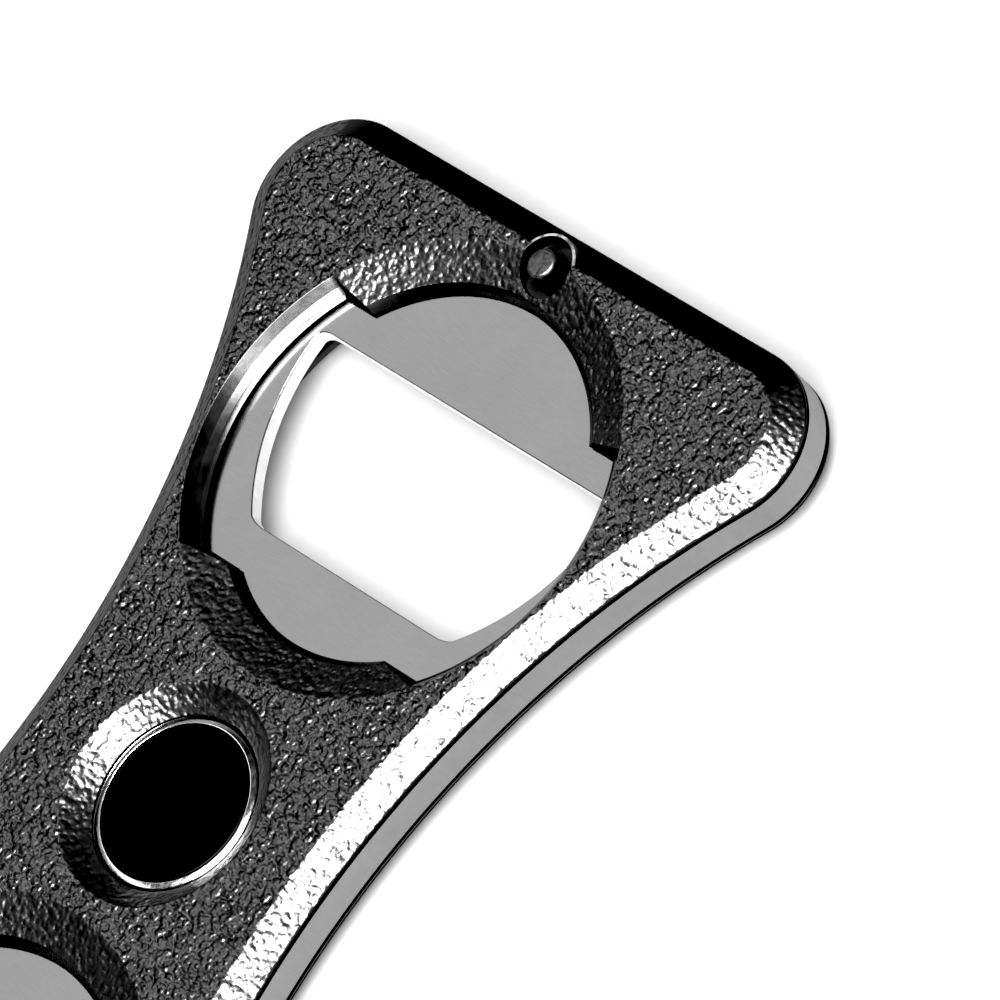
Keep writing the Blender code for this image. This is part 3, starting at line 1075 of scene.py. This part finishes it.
    def recess_tool(self) -> Mesh:
        """Tool for the bevelled recess round the magnet.

        Returns:
            The tool.
        """
        top, bottom = self.stack.top, self.stack.front_inner
        corners = (
            (0.0, top + self.over, 0.0),
            (self.recess_radius + 0.8 * MM, top + self.over, 0.0),
            (self.recess_radius + 0.8 * MM, top + 0.04 * MM, 0.0),
            (self.recess_radius, top, 0.5 * MM),
            (self.recess_foot, bottom + 0.15 * MM, 0.06 * MM),
            (self.recess_foot, bottom - self.over, 0.0),
            (0.0, bottom - self.over, 0.0),
        )
        return lathe(filleted(corners), (0.0, 0.0), self.segments,
                     lambda _, z: self.FAINT if z > bottom + 0.16 * MM else self.SMOOTH)

    def collar(self) -> Mesh:
        """The wall round the pin's pocket, which stands out of the chamfer at the end.

        Returns:
            A disc that the pocket is cut out of.
        """
        face, foot = self.stack.top - 0.03 * MM, self.stack.front_inner + 0.3 * MM
        radius = self.pocket_radius + self.collar_wall
        corners = ((0.0, face, 0.0), (radius, face, 0.08 * MM), (radius, foot, 0.0), (0.0, foot, 0.0))
        return lathe(filleted(corners), (0.0, self.stack.pin_y), self.pocket_segments,
                     # The collar's top face gets the pale plastic: a painted highlight on the pocket's rim.
                     lambda _, z: self.RIM_HIGHLIGHT if z > face - 0.06 * MM else self.SMOOTH)

    def pocket_tools(self) -> list[Mesh]:
        """Tools for the pocket round the pin and the pin's hole.

        Returns:
            The tools.
        """
        top, bottom = self.stack.top, self.stack.front_inner
        centre = (0.0, self.stack.pin_y)
        corners = (
            (0.0, top + self.over, 0.0),
            (self.pocket_radius + 0.4 * MM, top + self.over, 0.0),
            (self.pocket_radius + 0.4 * MM, top + 0.03 * MM, 0.0),
            (self.pocket_radius, top, 0.16 * MM),
            (self.pocket_radius, bottom + self.pocket_floor, 0.12 * MM),
            (0.0, bottom + self.pocket_floor, 0.0),
        )
        pocket = lathe(filleted(corners), centre, self.pocket_segments, lambda *_: self.SMOOTH)
        hole = self.post(PIN_HOLE_RADIUS, bottom - self.over, top, centre, self.hole_segments)
        return [pocket, hole]

    def post(self, radius: float, low: float, high: float, centre: Point2, segments: int) -> Mesh:
        """A smooth round post, or the tool for a round hole.

        Args:
            radius: Its radius.
            low: Its lower end.
            high: Its upper end.
            centre: Where it stands.
            segments: Steps round it.

        Returns:
            The post.
        """
        profile = ((0.0, high), (radius, high), (radius, low), (0.0, low))
        return lathe(profile, centre, segments, lambda *_: self.SMOOTH)

    def slot_tool(self) -> Mesh:
        """Tool for the slot across the key ring end.

        Returns:
            The tool.
        """
        inner = -(self.stack.window_y + self.foot_radius - self.over)
        low = (-self.pocket_radius, -self.stack.half_length - self.over, self.stack.front_inner - self.over)
        high = (self.pocket_radius, inner, self.stack.top + self.over)
        return slab(low, high, self.SMOOTH)

    def countersinks(self) -> list[Mesh]:
        """Tools for the screw holes.

        Returns:
            The tools.
        """
        top, bottom = self.stack.top, self.stack.front_inner
        corners = (
            (0.0, top + self.over, 0.0),
            (self.sink_radius + 0.3 * MM, top + self.over, 0.0),
            (self.sink_radius + 0.3 * MM, top + 0.02 * MM, 0.0),
            (self.sink_radius, top, 0.08 * MM),
            (self.sink_radius, top - 0.15 * MM, 0.0),
            (self.bore_radius, top - 1.05 * MM, 0.0),
            (self.bore_radius, bottom - self.over, 0.0),
            (0.0, bottom - self.over, 0.0),
        )
        profile = filleted(corners, 4)
        return [lathe(profile, centre, self.hole_segments, lambda *_: self.SMOOTH)
                for centre in self.stack.screw_centres().values()]

    def bosses(self, thing: Thing) -> None:
        """Adds the four screw bosses under the front cover.

        Args:
            thing: The cover.
        """
        low, high = self.stack.plate_bottom + 0.1 * MM, self.stack.front_inner + 0.4 * MM
        deep = self.stack.front_inner + 0.9 * MM
        centres = self.stack.screw_centres().values()
        steps = self.boss_segments
        carve(thing, [self.post(self.boss_radius, low, high, each, steps) for each in centres], "UNION")
        carve(thing, [self.post(self.bore_radius, low - self.over, deep, each, steps) for each in centres])

    def build(self) -> Thing:
        """Cuts the cover, turns the rear one over and puts it in place.

        Returns:
            The piece.
        """
        cover = self.blank()
        carve(cover, [self.collar()], "UNION")
        tools: list[Mesh] = []
        for end in End:
            tools += [self.slope_tool(end), self.band_tool(end)]
        tools += self.pocket_tools() + [self.slot_tool()]
        if self.side is Side.FRONT:
            self.bosses(cover)
            carve(cover, tools + [self.recess_tool()])
        else:
            carve(cover, tools + self.countersinks())
            over = Matrix.Rotation(math.pi, 4, "Y")
            cover.data.transform(Matrix.Translation((0.0, 0.0, self.stack.top)) @ over)
        soften(cover, 0.05 * MM)
        return place(cover, Body.OPENER, Slot.COVER, f"{self.side.name.lower()}_cover")


@dataclass
class CorePlate:
    """Steel plate with a cap lifter cut-out in each window."""

    stack: Stack
    finishes: Finishes
    over: float = 1.0 * MM
    lip: float = 0.318 * WINDOW_RADIUS
    heel: float = -0.482 * WINDOW_RADIUS
    half_width: float = 0.885 * WINDOW_RADIUS
    offset: float = 0.040 * WINDOW_RADIUS
    side_radius: float = 1.050 * WINDOW_RADIUS
    side_y: float = 0.250 * WINDOW_RADIUS
    corner_radius: float = 1.1 * MM
    edge_height: float = 1.25 * MM
    edge_round: float = 0.10 * MM
    rim_round: float = 0.16 * MM
    link_hole: float = 2.5 * MM
    boss_hole: float = 2.35 * MM

    BRUSHED = 0
    TUMBLED = 1
    GROUND = 2

    def lifter_outline(self, end: End) -> list[Point2]:
        """Outline of one cut-out, counter-clockwise, with rounded corners.

        Args:
            end: Which window.

        Returns:
            Its points.
        """
        side_x = self.side_radius - self.half_width
        start = math.asin((self.heel - self.side_y) / self.side_radius)
        stop = math.asin((self.lip - self.side_y) / self.side_radius)
        right = arc((-side_x, self.side_y), self.side_radius, start, stop, 24)
        loop = right + [(-x, y) for x, y in reversed(right)]
        flat = bmesh.new()
        flat.faces.new([flat.verts.new((x, y, 0.0)) for x, y in loop])
        flat.verts.ensure_lookup_table()
        corners = [flat.verts[index] for index in (0, len(right) - 1, len(right), len(loop) - 1)]
        bmesh.ops.bevel(flat, geom=corners, offset=self.corner_radius, offset_type="OFFSET",
                        segments=8, profile=0.5, affect="VERTICES")
        flat.faces.ensure_lookup_table()
        face = max(flat.faces, key=lambda each: len(each.verts))
        points = [(vert.co.x, vert.co.y) for vert in face.verts]
        flat.free()
        area = sum(a[0] * b[1] - b[0] * a[1] for a, b in zip(points, points[1:] + points[:1]))
        if area < 0.0:
            points.reverse()
        return [(end.value * (x + self.offset), end.value * (y + self.stack.window_y)) for x, y in points]

    def lifter_tool(self, end: End) -> Mesh:
        """Tool for one cut-out, with a rounded upper edge and the relief behind its lip.

        Args:
            end: Which window.

        Returns:
            The tool.
        """
        top, bottom = self.stack.plate_top, self.stack.plate_bottom
        relief = (top - self.edge_height) - bottom
        corners = (
            (relief + 0.5 * MM, bottom - 0.5 * MM, 0.0),
            (0.0, top - self.edge_height, 0.06 * MM),
            (0.0, top, self.edge_round),
            (0.6 * MM, top + 0.03 * MM, 0.0),
            (0.6 * MM, top + self.over, 0.0),
        )
        outline = self.lifter_outline(end)
        profile = filleted(corners, 5)
        rings = [[Vector((x, y, z)) for x, y in grown(outline, out)] for out, z in profile]
        rim = top - 1.1 * self.edge_round
        return lofted(rings, [self.GROUND if z < rim else self.BRUSHED for _, z in profile[:-1]])

    def round_hole(self, centre: Point2, radius: float, segments: int = 64) -> Mesh:
        """Tool for a round hole with broken edges.

        Args:
            centre: Where it is.
            radius: Its radius.
            segments: Steps round it.

        Returns:
            The tool.
        """
        top, bottom = self.stack.plate_top, self.stack.plate_bottom
        broken = 0.12 * MM
        corners = (
            (0.0, top + self.over, 0.0),
            (radius + broken + self.over, top + self.over, 0.0),
            (radius, top - broken, 0.05 * MM),
            (radius, bottom + broken, 0.05 * MM),
            (radius + broken + self.over, bottom - self.over, 0.0),
            (0.0, bottom - self.over, 0.0),
        )
        return lathe(filleted(corners, 3), centre, segments)

    def build(self) -> Thing:
        """Cuts the plate and puts it in place.

        Returns:
            The piece.
        """
        top, bottom = self.stack.plate_top, self.stack.plate_bottom
        corners = (
            (0.7 * MM, bottom, 0.0),
            (0.0, bottom, self.rim_round),
            (0.0, top, 0.0),
            (0.7 * MM, top, 0.0),
        )
        profile = filleted(corners, 5)
        strips = [self.TUMBLED if max(a[0], b[0]) < 1.01 * self.rim_round else self.BRUSHED
                  for a, b in zip(profile, profile[1:])]
        plate = thing_from(lofted(self.stack.outline.shell(profile), strips), "lifter_plate",
                           (self.finishes.steel, self.finishes.steel_edge, self.finishes.ground))
        link_y = -(self.stack.window_y + 0.641 * self.stack.radius)
        tools = [self.lifter_tool(end) for end in End]
        tools.append(self.round_hole((0.0, 0.0), MAGNET_HOLE_RADIUS, 96))
        tools.append(self.round_hole((0.0, self.stack.pin_y), PIN_HOLE_RADIUS, 40))
        tools.append(self.round_hole((0.0, link_y), self.link_hole))
        centres = self.stack.screw_centres().values()
        tools += [self.round_hole(centre, self.boss_hole) for centre in centres]
        carve(plate, tools)
        soften(plate, 0.0)
        return place(plate, Body.OPENER, Slot.PLATE, "opener_plate")


@dataclass
class Magnet:
    """Round magnet in its thin steel cup."""

    stack: Stack
    finishes: Finishes
    cup_radius: float = 6.2 * MM
    wall: float = 0.40 * MM
    floor: float = 0.6 * MM
    segments: int = 128

    def build(self) -> Thing:
        """Turns the cup and the magnet and puts them in place.

        Returns:
            The cup.
        """
        cup_low, cup_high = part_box("magnet_cup")
        rim, base = cup_high.z, cup_low.z
        inner = self.cup_radius - self.wall
        cup_corners = (
            (0.0, base + self.floor, 0.0),
            (inner, base + self.floor, 0.15 * MM),
            (inner, rim, 0.05 * MM),
            (self.cup_radius, rim - 0.20 * MM, 0.10 * MM),
            (self.cup_radius, base, 0.30 * MM),
            (0.0, base, 0.0),
        )
        cup = finished(lathe(filleted(cup_corners, 5), (0.0, 0.0), self.segments), "magnet_cup_shell",
                       (self.finishes.bright,), Body.OPENER, Slot.BRIGHT, "magnet_cup")
        disc_low, disc_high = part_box("magnet_disc")
        radius = disc_high.x
        disc_corners = (
            (0.0, disc_high.z, 0.0),
            (radius, disc_high.z, 0.12 * MM),
            (radius, disc_low.z, 0.08 * MM),
            (0.0, disc_low.z, 0.0),
        )
        finished(lathe(filleted(disc_corners, 5), (0.0, 0.0), self.segments), "magnet_puck",
                 (self.finishes.ferrite,), Body.OPENER, Slot.FERRITE, "magnet_disc")
        return cup


@dataclass
class DowelPin:
    """Dowel pin at the opener end."""

    stack: Stack
    finishes: Finishes
    edge: float = 0.24 * MM
    segments: int = 72

    def build(self) -> Thing:
        """Turns the pin and puts it in place.

        Returns:
            The piece.
        """
        low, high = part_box("end_pin")
        radius = (high.x - low.x) / 2
        corners = (
            (0.0, high.z, 0.0),
            (radius, high.z, self.edge),
            (radius, low.z, self.edge),
            (0.0, low.z, 0.0),
        )
        # Below its rounded top the pin's sides take near-black steel: painted shade for the pocket round
        # the pin.
        sides = high.z - 1.1 * self.edge
        turned = lathe(filleted(corners, 6), (0.0, self.stack.pin_y), self.segments,
                       lambda _, z: 1 if z < sides else 0)
        return finished(turned, "dowel_pin", (self.finishes.pin, self.finishes.pin_side_shade),
                        Body.OPENER, Slot.FASTENER, "end_pin")


@dataclass
class CoverScrews:
    """Four countersunk screws with hexagon sockets, driven from the rear."""

    stack: Stack
    finishes: Finishes
    head_radius: float = 1.9 * MM
    head_height: float = 0.9 * MM
    shank_radius: float = 0.9 * MM
    thread_pitch: float = 0.35 * MM
    thread_depth: float = 0.12 * MM
    socket_radius: float = 0.75 * MM
    socket_depth: float = 0.6 * MM

    def profile(self, low: float, high: float) -> list[Point2]:
        """Profile of a screw from its tip to the face of its head.

        Args:
            low: Height of the head's face.
            high: Height of the tip.

        Returns:
            (radius, height) points.
        """
        neck = low + self.head_height
        points: list[Point2] = [(0.0, high), (self.shank_radius - 0.25 * MM, high)]
        height = high - 0.25 * MM
        while height > neck + self.thread_pitch:
            points.append((self.shank_radius, height))
            points.append((self.shank_radius - self.thread_depth, height - self.thread_pitch / 2))
            height -= self.thread_pitch
        points.append((self.shank_radius, neck + 0.05 * MM))
        rim = low + 0.10 * MM
        head = self.head_radius
        points += [(head - 0.03 * MM, rim + 0.04 * MM), (head, rim), (head, low + 0.05 * MM)]
        return points + [(head - 0.05 * MM, low), (0.0, low)]

    def build(self) -> list[Thing]:
        """Turns each screw, cuts its socket and puts it in place.

        Returns:
            The screws.
        """
        screws = []
        for node, centre in self.stack.screw_centres().items():
            low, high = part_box(node)
            screw = thing_from(lathe(self.profile(low.z, high.z), centre, 48),
                               node.replace("cover_screw", "screw"), (self.finishes.screw,))
            face, deep = low.z, low.z + self.socket_depth
            socket = (
                (0.0, deep + 0.2 * MM),
                (self.socket_radius, deep),
                (self.socket_radius, face + 0.08 * MM),
                (self.socket_radius + 0.4 * MM, face - 0.32 * MM),
                (0.0, face - 0.32 * MM),
            )
            carve(screw, [lathe(socket, centre, 6)])
            soften(screw, 0.0)
            screws.append(place(screw, Body.OPENER, Slot.FASTENER, node))
        return screws


@dataclass
class WireLink:
    """Closed link of round wire, standing on edge through the plate's hole."""

    finishes: Finishes
    bend_steps: int = 28
    straight_steps: int = 8
    round_steps: int = 20

    def build(self) -> Thing:
        """Sweeps the wire and puts it in place.

        Returns:
            The piece.
        """
        low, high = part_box("ring_link")
        wire = (high.x - low.x) / 2
        bend = (high.z - low.z) / 2 - wire
        middle_z = (high.z + low.z) / 2
        near_y = high.y - wire - bend
        far_y = low.y + wire + bend
        route = arc((near_y, middle_z), bend, -math.pi / 2, math.pi / 2, self.bend_steps)
        span = near_y - far_y
        runs = [span * step / self.straight_steps for step in range(1, self.straight_steps)]
        route += [(near_y - run, middle_z + bend) for run in runs]
        route += arc((far_y, middle_z), bend, math.pi / 2, 3 * math.pi / 2, self.bend_steps)
        route += [(far_y + run, middle_z - bend) for run in runs]
        rings = []
        for index, (y, z) in enumerate(route):
            before, after = Vector(route[index - 1]), Vector(route[(index + 1) % len(route)])
            ahead = (after - before).normalized()
            side = Vector((0.0, -ahead.y, ahead.x))
            ring = []
            for step in range(self.round_steps):
                angle = 2 * math.pi * step / self.round_steps
                offset = Vector((wire * math.cos(angle), 0.0, 0.0)) + side * (wire * math.sin(angle))
                ring.append(Vector((0.0, y, z)) + offset)
            rings.append(ring)
        return finished(lofted(rings, closed=True), "wire_link", (self.finishes.bright,),
                        Body.LINK, Slot.BRIGHT, "ring_link")


@dataclass
class SplitRing:
    """Key ring of two turns of flat wire that step across each other."""

    finishes: Finishes
    droop_deg: float = field(init=False, default=0.0)
    hinge: Vector = field(init=False)
    mean_radius: float = 11.0 * MM
    band_width: float = 1.6 * MM
    band_height: float = 2.0 * MM
    play: float = 0.03 * MM
    corner: float = 0.30 * MM
    step_deg: float = 34.0
    step_at_deg: float = 215.0
    turn_steps: int = 150

    def __post_init__(self) -> None:
        """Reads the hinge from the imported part's joint."""
        joint = next(each for each in frame["joints"] if each["child"] == Body.RING.value)
        self.hinge = Vector(joint["pos_m"])
        drop = self.hinge.z - self.band_height / 2 - 0.12 * MM
        self.droop_deg = math.degrees(math.asin(drop / (2 * self.mean_radius)))

    def section(self, shrink: float) -> list[Point2]:
        """Section of the flat wire as (across, height).

        Args:
            shrink: How much it is taken in all round.

        Returns:
            Its points.
        """
        half_wide = self.band_width / 2 - shrink
        half_high = self.band_height / 4 - self.play / 2 - shrink
        radius = max(self.corner - shrink, 0.05 * MM)
        points: list[Point2] = []
        for quadrant, (sx, sy) in enumerate(((1, 1), (-1, 1), (-1, -1), (1, -1))):
            start = quadrant * math.pi / 2
            centre = (sx * (half_wide - radius), sy * (half_high - radius))
            points += arc(centre, radius, start, start + math.pi / 2, 4)
        return points

    def build(self) -> Thing:
        """Sweeps the two turns and puts the ring in place.

        Returns:
            The piece.
        """
        step = math.radians(self.step_deg)
        start, stop = step / 2 + 0.02, 4 * math.pi - step / 2 - 0.02
        level = self.band_height / 4
        count = self.turn_steps * 2
        rings = []
        for index in range(count + 1):
            turned = start + (stop - start) * index / count
            climb = min(1.0, max(0.0, (turned - (2 * math.pi - step / 2)) / step))
            height = -level + 2 * level * (climb * climb * (3 - 2 * climb))
            shrink = 0.10 * MM if index in (0, count) else 0.0
            angle = turned + math.radians(self.step_at_deg)
            spoke = Vector((math.cos(angle), math.sin(angle), 0.0))
            rings.append([spoke * (self.mean_radius + across) + Vector((0.0, 0.0, height + up))
                          for across, up in self.section(shrink)])
        builder = lofted(rings)
        bmesh.ops.translate(builder, verts=builder.verts, vec=(0.0, -self.mean_radius, 0.0))
        turn = Matrix.Translation(self.hinge) @ Matrix.Rotation(math.radians(self.droop_deg), 4, "X")
        bmesh.ops.transform(builder, matrix=turn, verts=builder.verts)
        return finished(builder, "split_ring", (self.finishes.bright,), Body.RING, Slot.BRIGHT, "key_ring")


# ---------------------------------------------------------------- the studio


@dataclass(frozen=True)
class Panel:
    """A soft light panel that faces the opener."""

    name: str
    azimuth_deg: float
    elevation_deg: float
    distance: float
    width: float
    height: float
    radiance: float

    def build(self, aim: Vector, only: bpy.types.Collection | None = None) -> None:
        """Hangs the panel.

        Args:
            aim: The point that it faces.
            only: What it lights; everything if left out.
        """
        azimuth, elevation = math.radians(self.azimuth_deg), math.radians(self.elevation_deg)
        flat = math.cos(elevation)
        away = Vector((math.cos(azimuth) * flat, math.sin(azimuth) * flat, math.sin(elevation)))
        lamp = bpy.data.lights.new(self.name, "AREA")
        lamp.shape = "RECTANGLE"
        lamp.size, lamp.size_y = self.width, self.height
        lamp.energy = self.radiance * math.pi * self.width * self.height
        holder = bpy.data.objects.new(self.name, lamp)
        holder.location = aim + away * self.distance
        holder.rotation_mode = "QUATERNION"
        holder.rotation_quaternion = away.to_track_quat("Z", "Y")
        holder.visible_camera = False
        if only is not None:
            holder.light_linking.receiver_collection = only
        bpy.context.scene.collection.objects.link(holder)


@dataclass
class Studio:
    """White paper, soft panels and the camera."""

    finishes: Finishes
    paper_half: float = 1.6
    aim: Vector = field(default_factory=lambda: Vector((0.0088, 0.0285, 0.0)))
    camera_at: tuple[float, float, float] = (0.49156, -0.03450887, 0.5806136)
    camera_turn_deg: tuple[float, float, float] = (29.21541145, 29.06075624, 41.58967063)
    lens: float = 410.129
    surround: float = 0.012
    backdrop: float = 0.95
    key_panel: Panel = Panel("key_panel", -24.0, 60.0, 1.3, 1.25, 1.05, 30.0)
    cover_panel: Panel = Panel("cover_panel", 172.6, 49.7, 1.3, 0.54, 0.47, 3.50)
    steel_panel: Panel = Panel("steel_panel", 172.6, 49.7, 1.3, 0.85, 0.75, 0.69)
    cup_panel: Panel = Panel("cup_panel", -145.0, 24.0, 1.3, 1.5, 0.8, 4.0)
    paper_panel: Panel = Panel("paper_panel", 118.0, 38.0, 1.6, 0.5, 0.5, 50.0)
    black_point: float = 0.018

    def only(self, *things: Thing) -> bpy.types.Collection:
        """A collection for a light that is flagged off everything else.

        Args:
            *things: What the light falls on.

        Returns:
            A collection that holds nothing else.
        """
        collection = bpy.data.collections.new(f"{things[0].name}_only")
        for thing in things:
            collection.objects.link(thing)
        return collection

    def paper(self) -> bpy.types.Collection:
        """Lays the paper under the opener.

        Returns:
            A collection that holds only the paper.
        """
        builder = bmesh.new()
        bmesh.ops.create_grid(builder, x_segments=8, y_segments=8, size=self.paper_half)
        sheet = thing_from(builder, "studio_sweep", (self.finishes.paper,))
        sheet.location.z = CAD_LOW.z - PAPER_GAP
        return self.only(sheet)

    def world(self) -> None:
        """Dim surroundings that show pale behind the opener."""
        world = bpy.data.worlds.new("studio_air")
        world.use_nodes = True
        tree = world.node_tree
        tree.nodes.clear()
        output = tree.nodes.new("ShaderNodeOutputWorld")
        mix = tree.nodes.new("ShaderNodeMixShader")
        path = tree.nodes.new("ShaderNodeLightPath")
        tree.links.new(path.outputs["Is Camera Ray"], mix.inputs["Fac"])
        for socket, strength in ((1, self.surround), (2, self.backdrop)):
            air = tree.nodes.new("ShaderNodeBackground")
            air.inputs["Color"].default_value = (1.0, 1.0, 1.0, 1.0)
            air.inputs["Strength"].default_value = strength
            tree.links.new(air.outputs[0], mix.inputs[socket])
        tree.links.new(mix.outputs[0], output.inputs["Surface"])
        bpy.context.scene.world = world

    def camera(self) -> None:
        """Stands the camera."""
        data = bpy.data.cameras.new("camera")
        data.lens = self.lens
        data.sensor_width = 36.0
        data.clip_start, data.clip_end = 0.01, 20.0
        holder = bpy.data.objects.new("camera", data)
        holder.location = self.camera_at
        holder.rotation_euler = Euler([math.radians(turn) for turn in self.camera_turn_deg])
        bpy.context.scene.collection.objects.link(holder)
        bpy.context.scene.camera = holder

    def build(self, covers: Sequence[Thing], steel: Sequence[Thing], cup: Thing) -> None:
        """Sets the studio up.

        Args:
            covers: The black mouldings, which need more light than the steel.
            steel: The pieces of steel.
            cup: The magnet's cup, whose rim has a light of its own.
        """
        view = bpy.context.scene.view_settings
        view.view_transform = "Standard"
        view.use_curve_mapping = True
        view.curve_mapping.black_level = (self.black_point,) * 3
        view.curve_mapping.update()
        self.paper_panel.build(self.aim, self.paper())
        self.cup_panel.build(self.aim, self.only(cup))
        self.cover_panel.build(self.aim, self.only(*covers))
        self.steel_panel.build(self.aim, self.only(*steel))
        self.key_panel.build(self.aim)
        self.world()
        self.camera()
        LOG.info("studio: paper, %d panels and the camera", len(bpy.data.lights))


def main() -> None:
    """Builds the opener and its studio."""
    logging.basicConfig(level=logging.INFO, format="%(message)s")
    finishes = Finishes.make()
    stack = Stack()
    plate = CorePlate(stack, finishes).build()
    covers = [Cover(stack, finishes, side).build() for side in Side]
    cup = Magnet(stack, finishes).build()
    pin = DowelPin(stack, finishes).build()
    screws = CoverScrews(stack, finishes).build()
    link = WireLink(finishes).build()
    ring = SplitRing(finishes).build()
    Studio(finishes).build(covers, [plate, cup, pin, *screws, link, ring], cup)


if __name__ == "__main__":
    main()
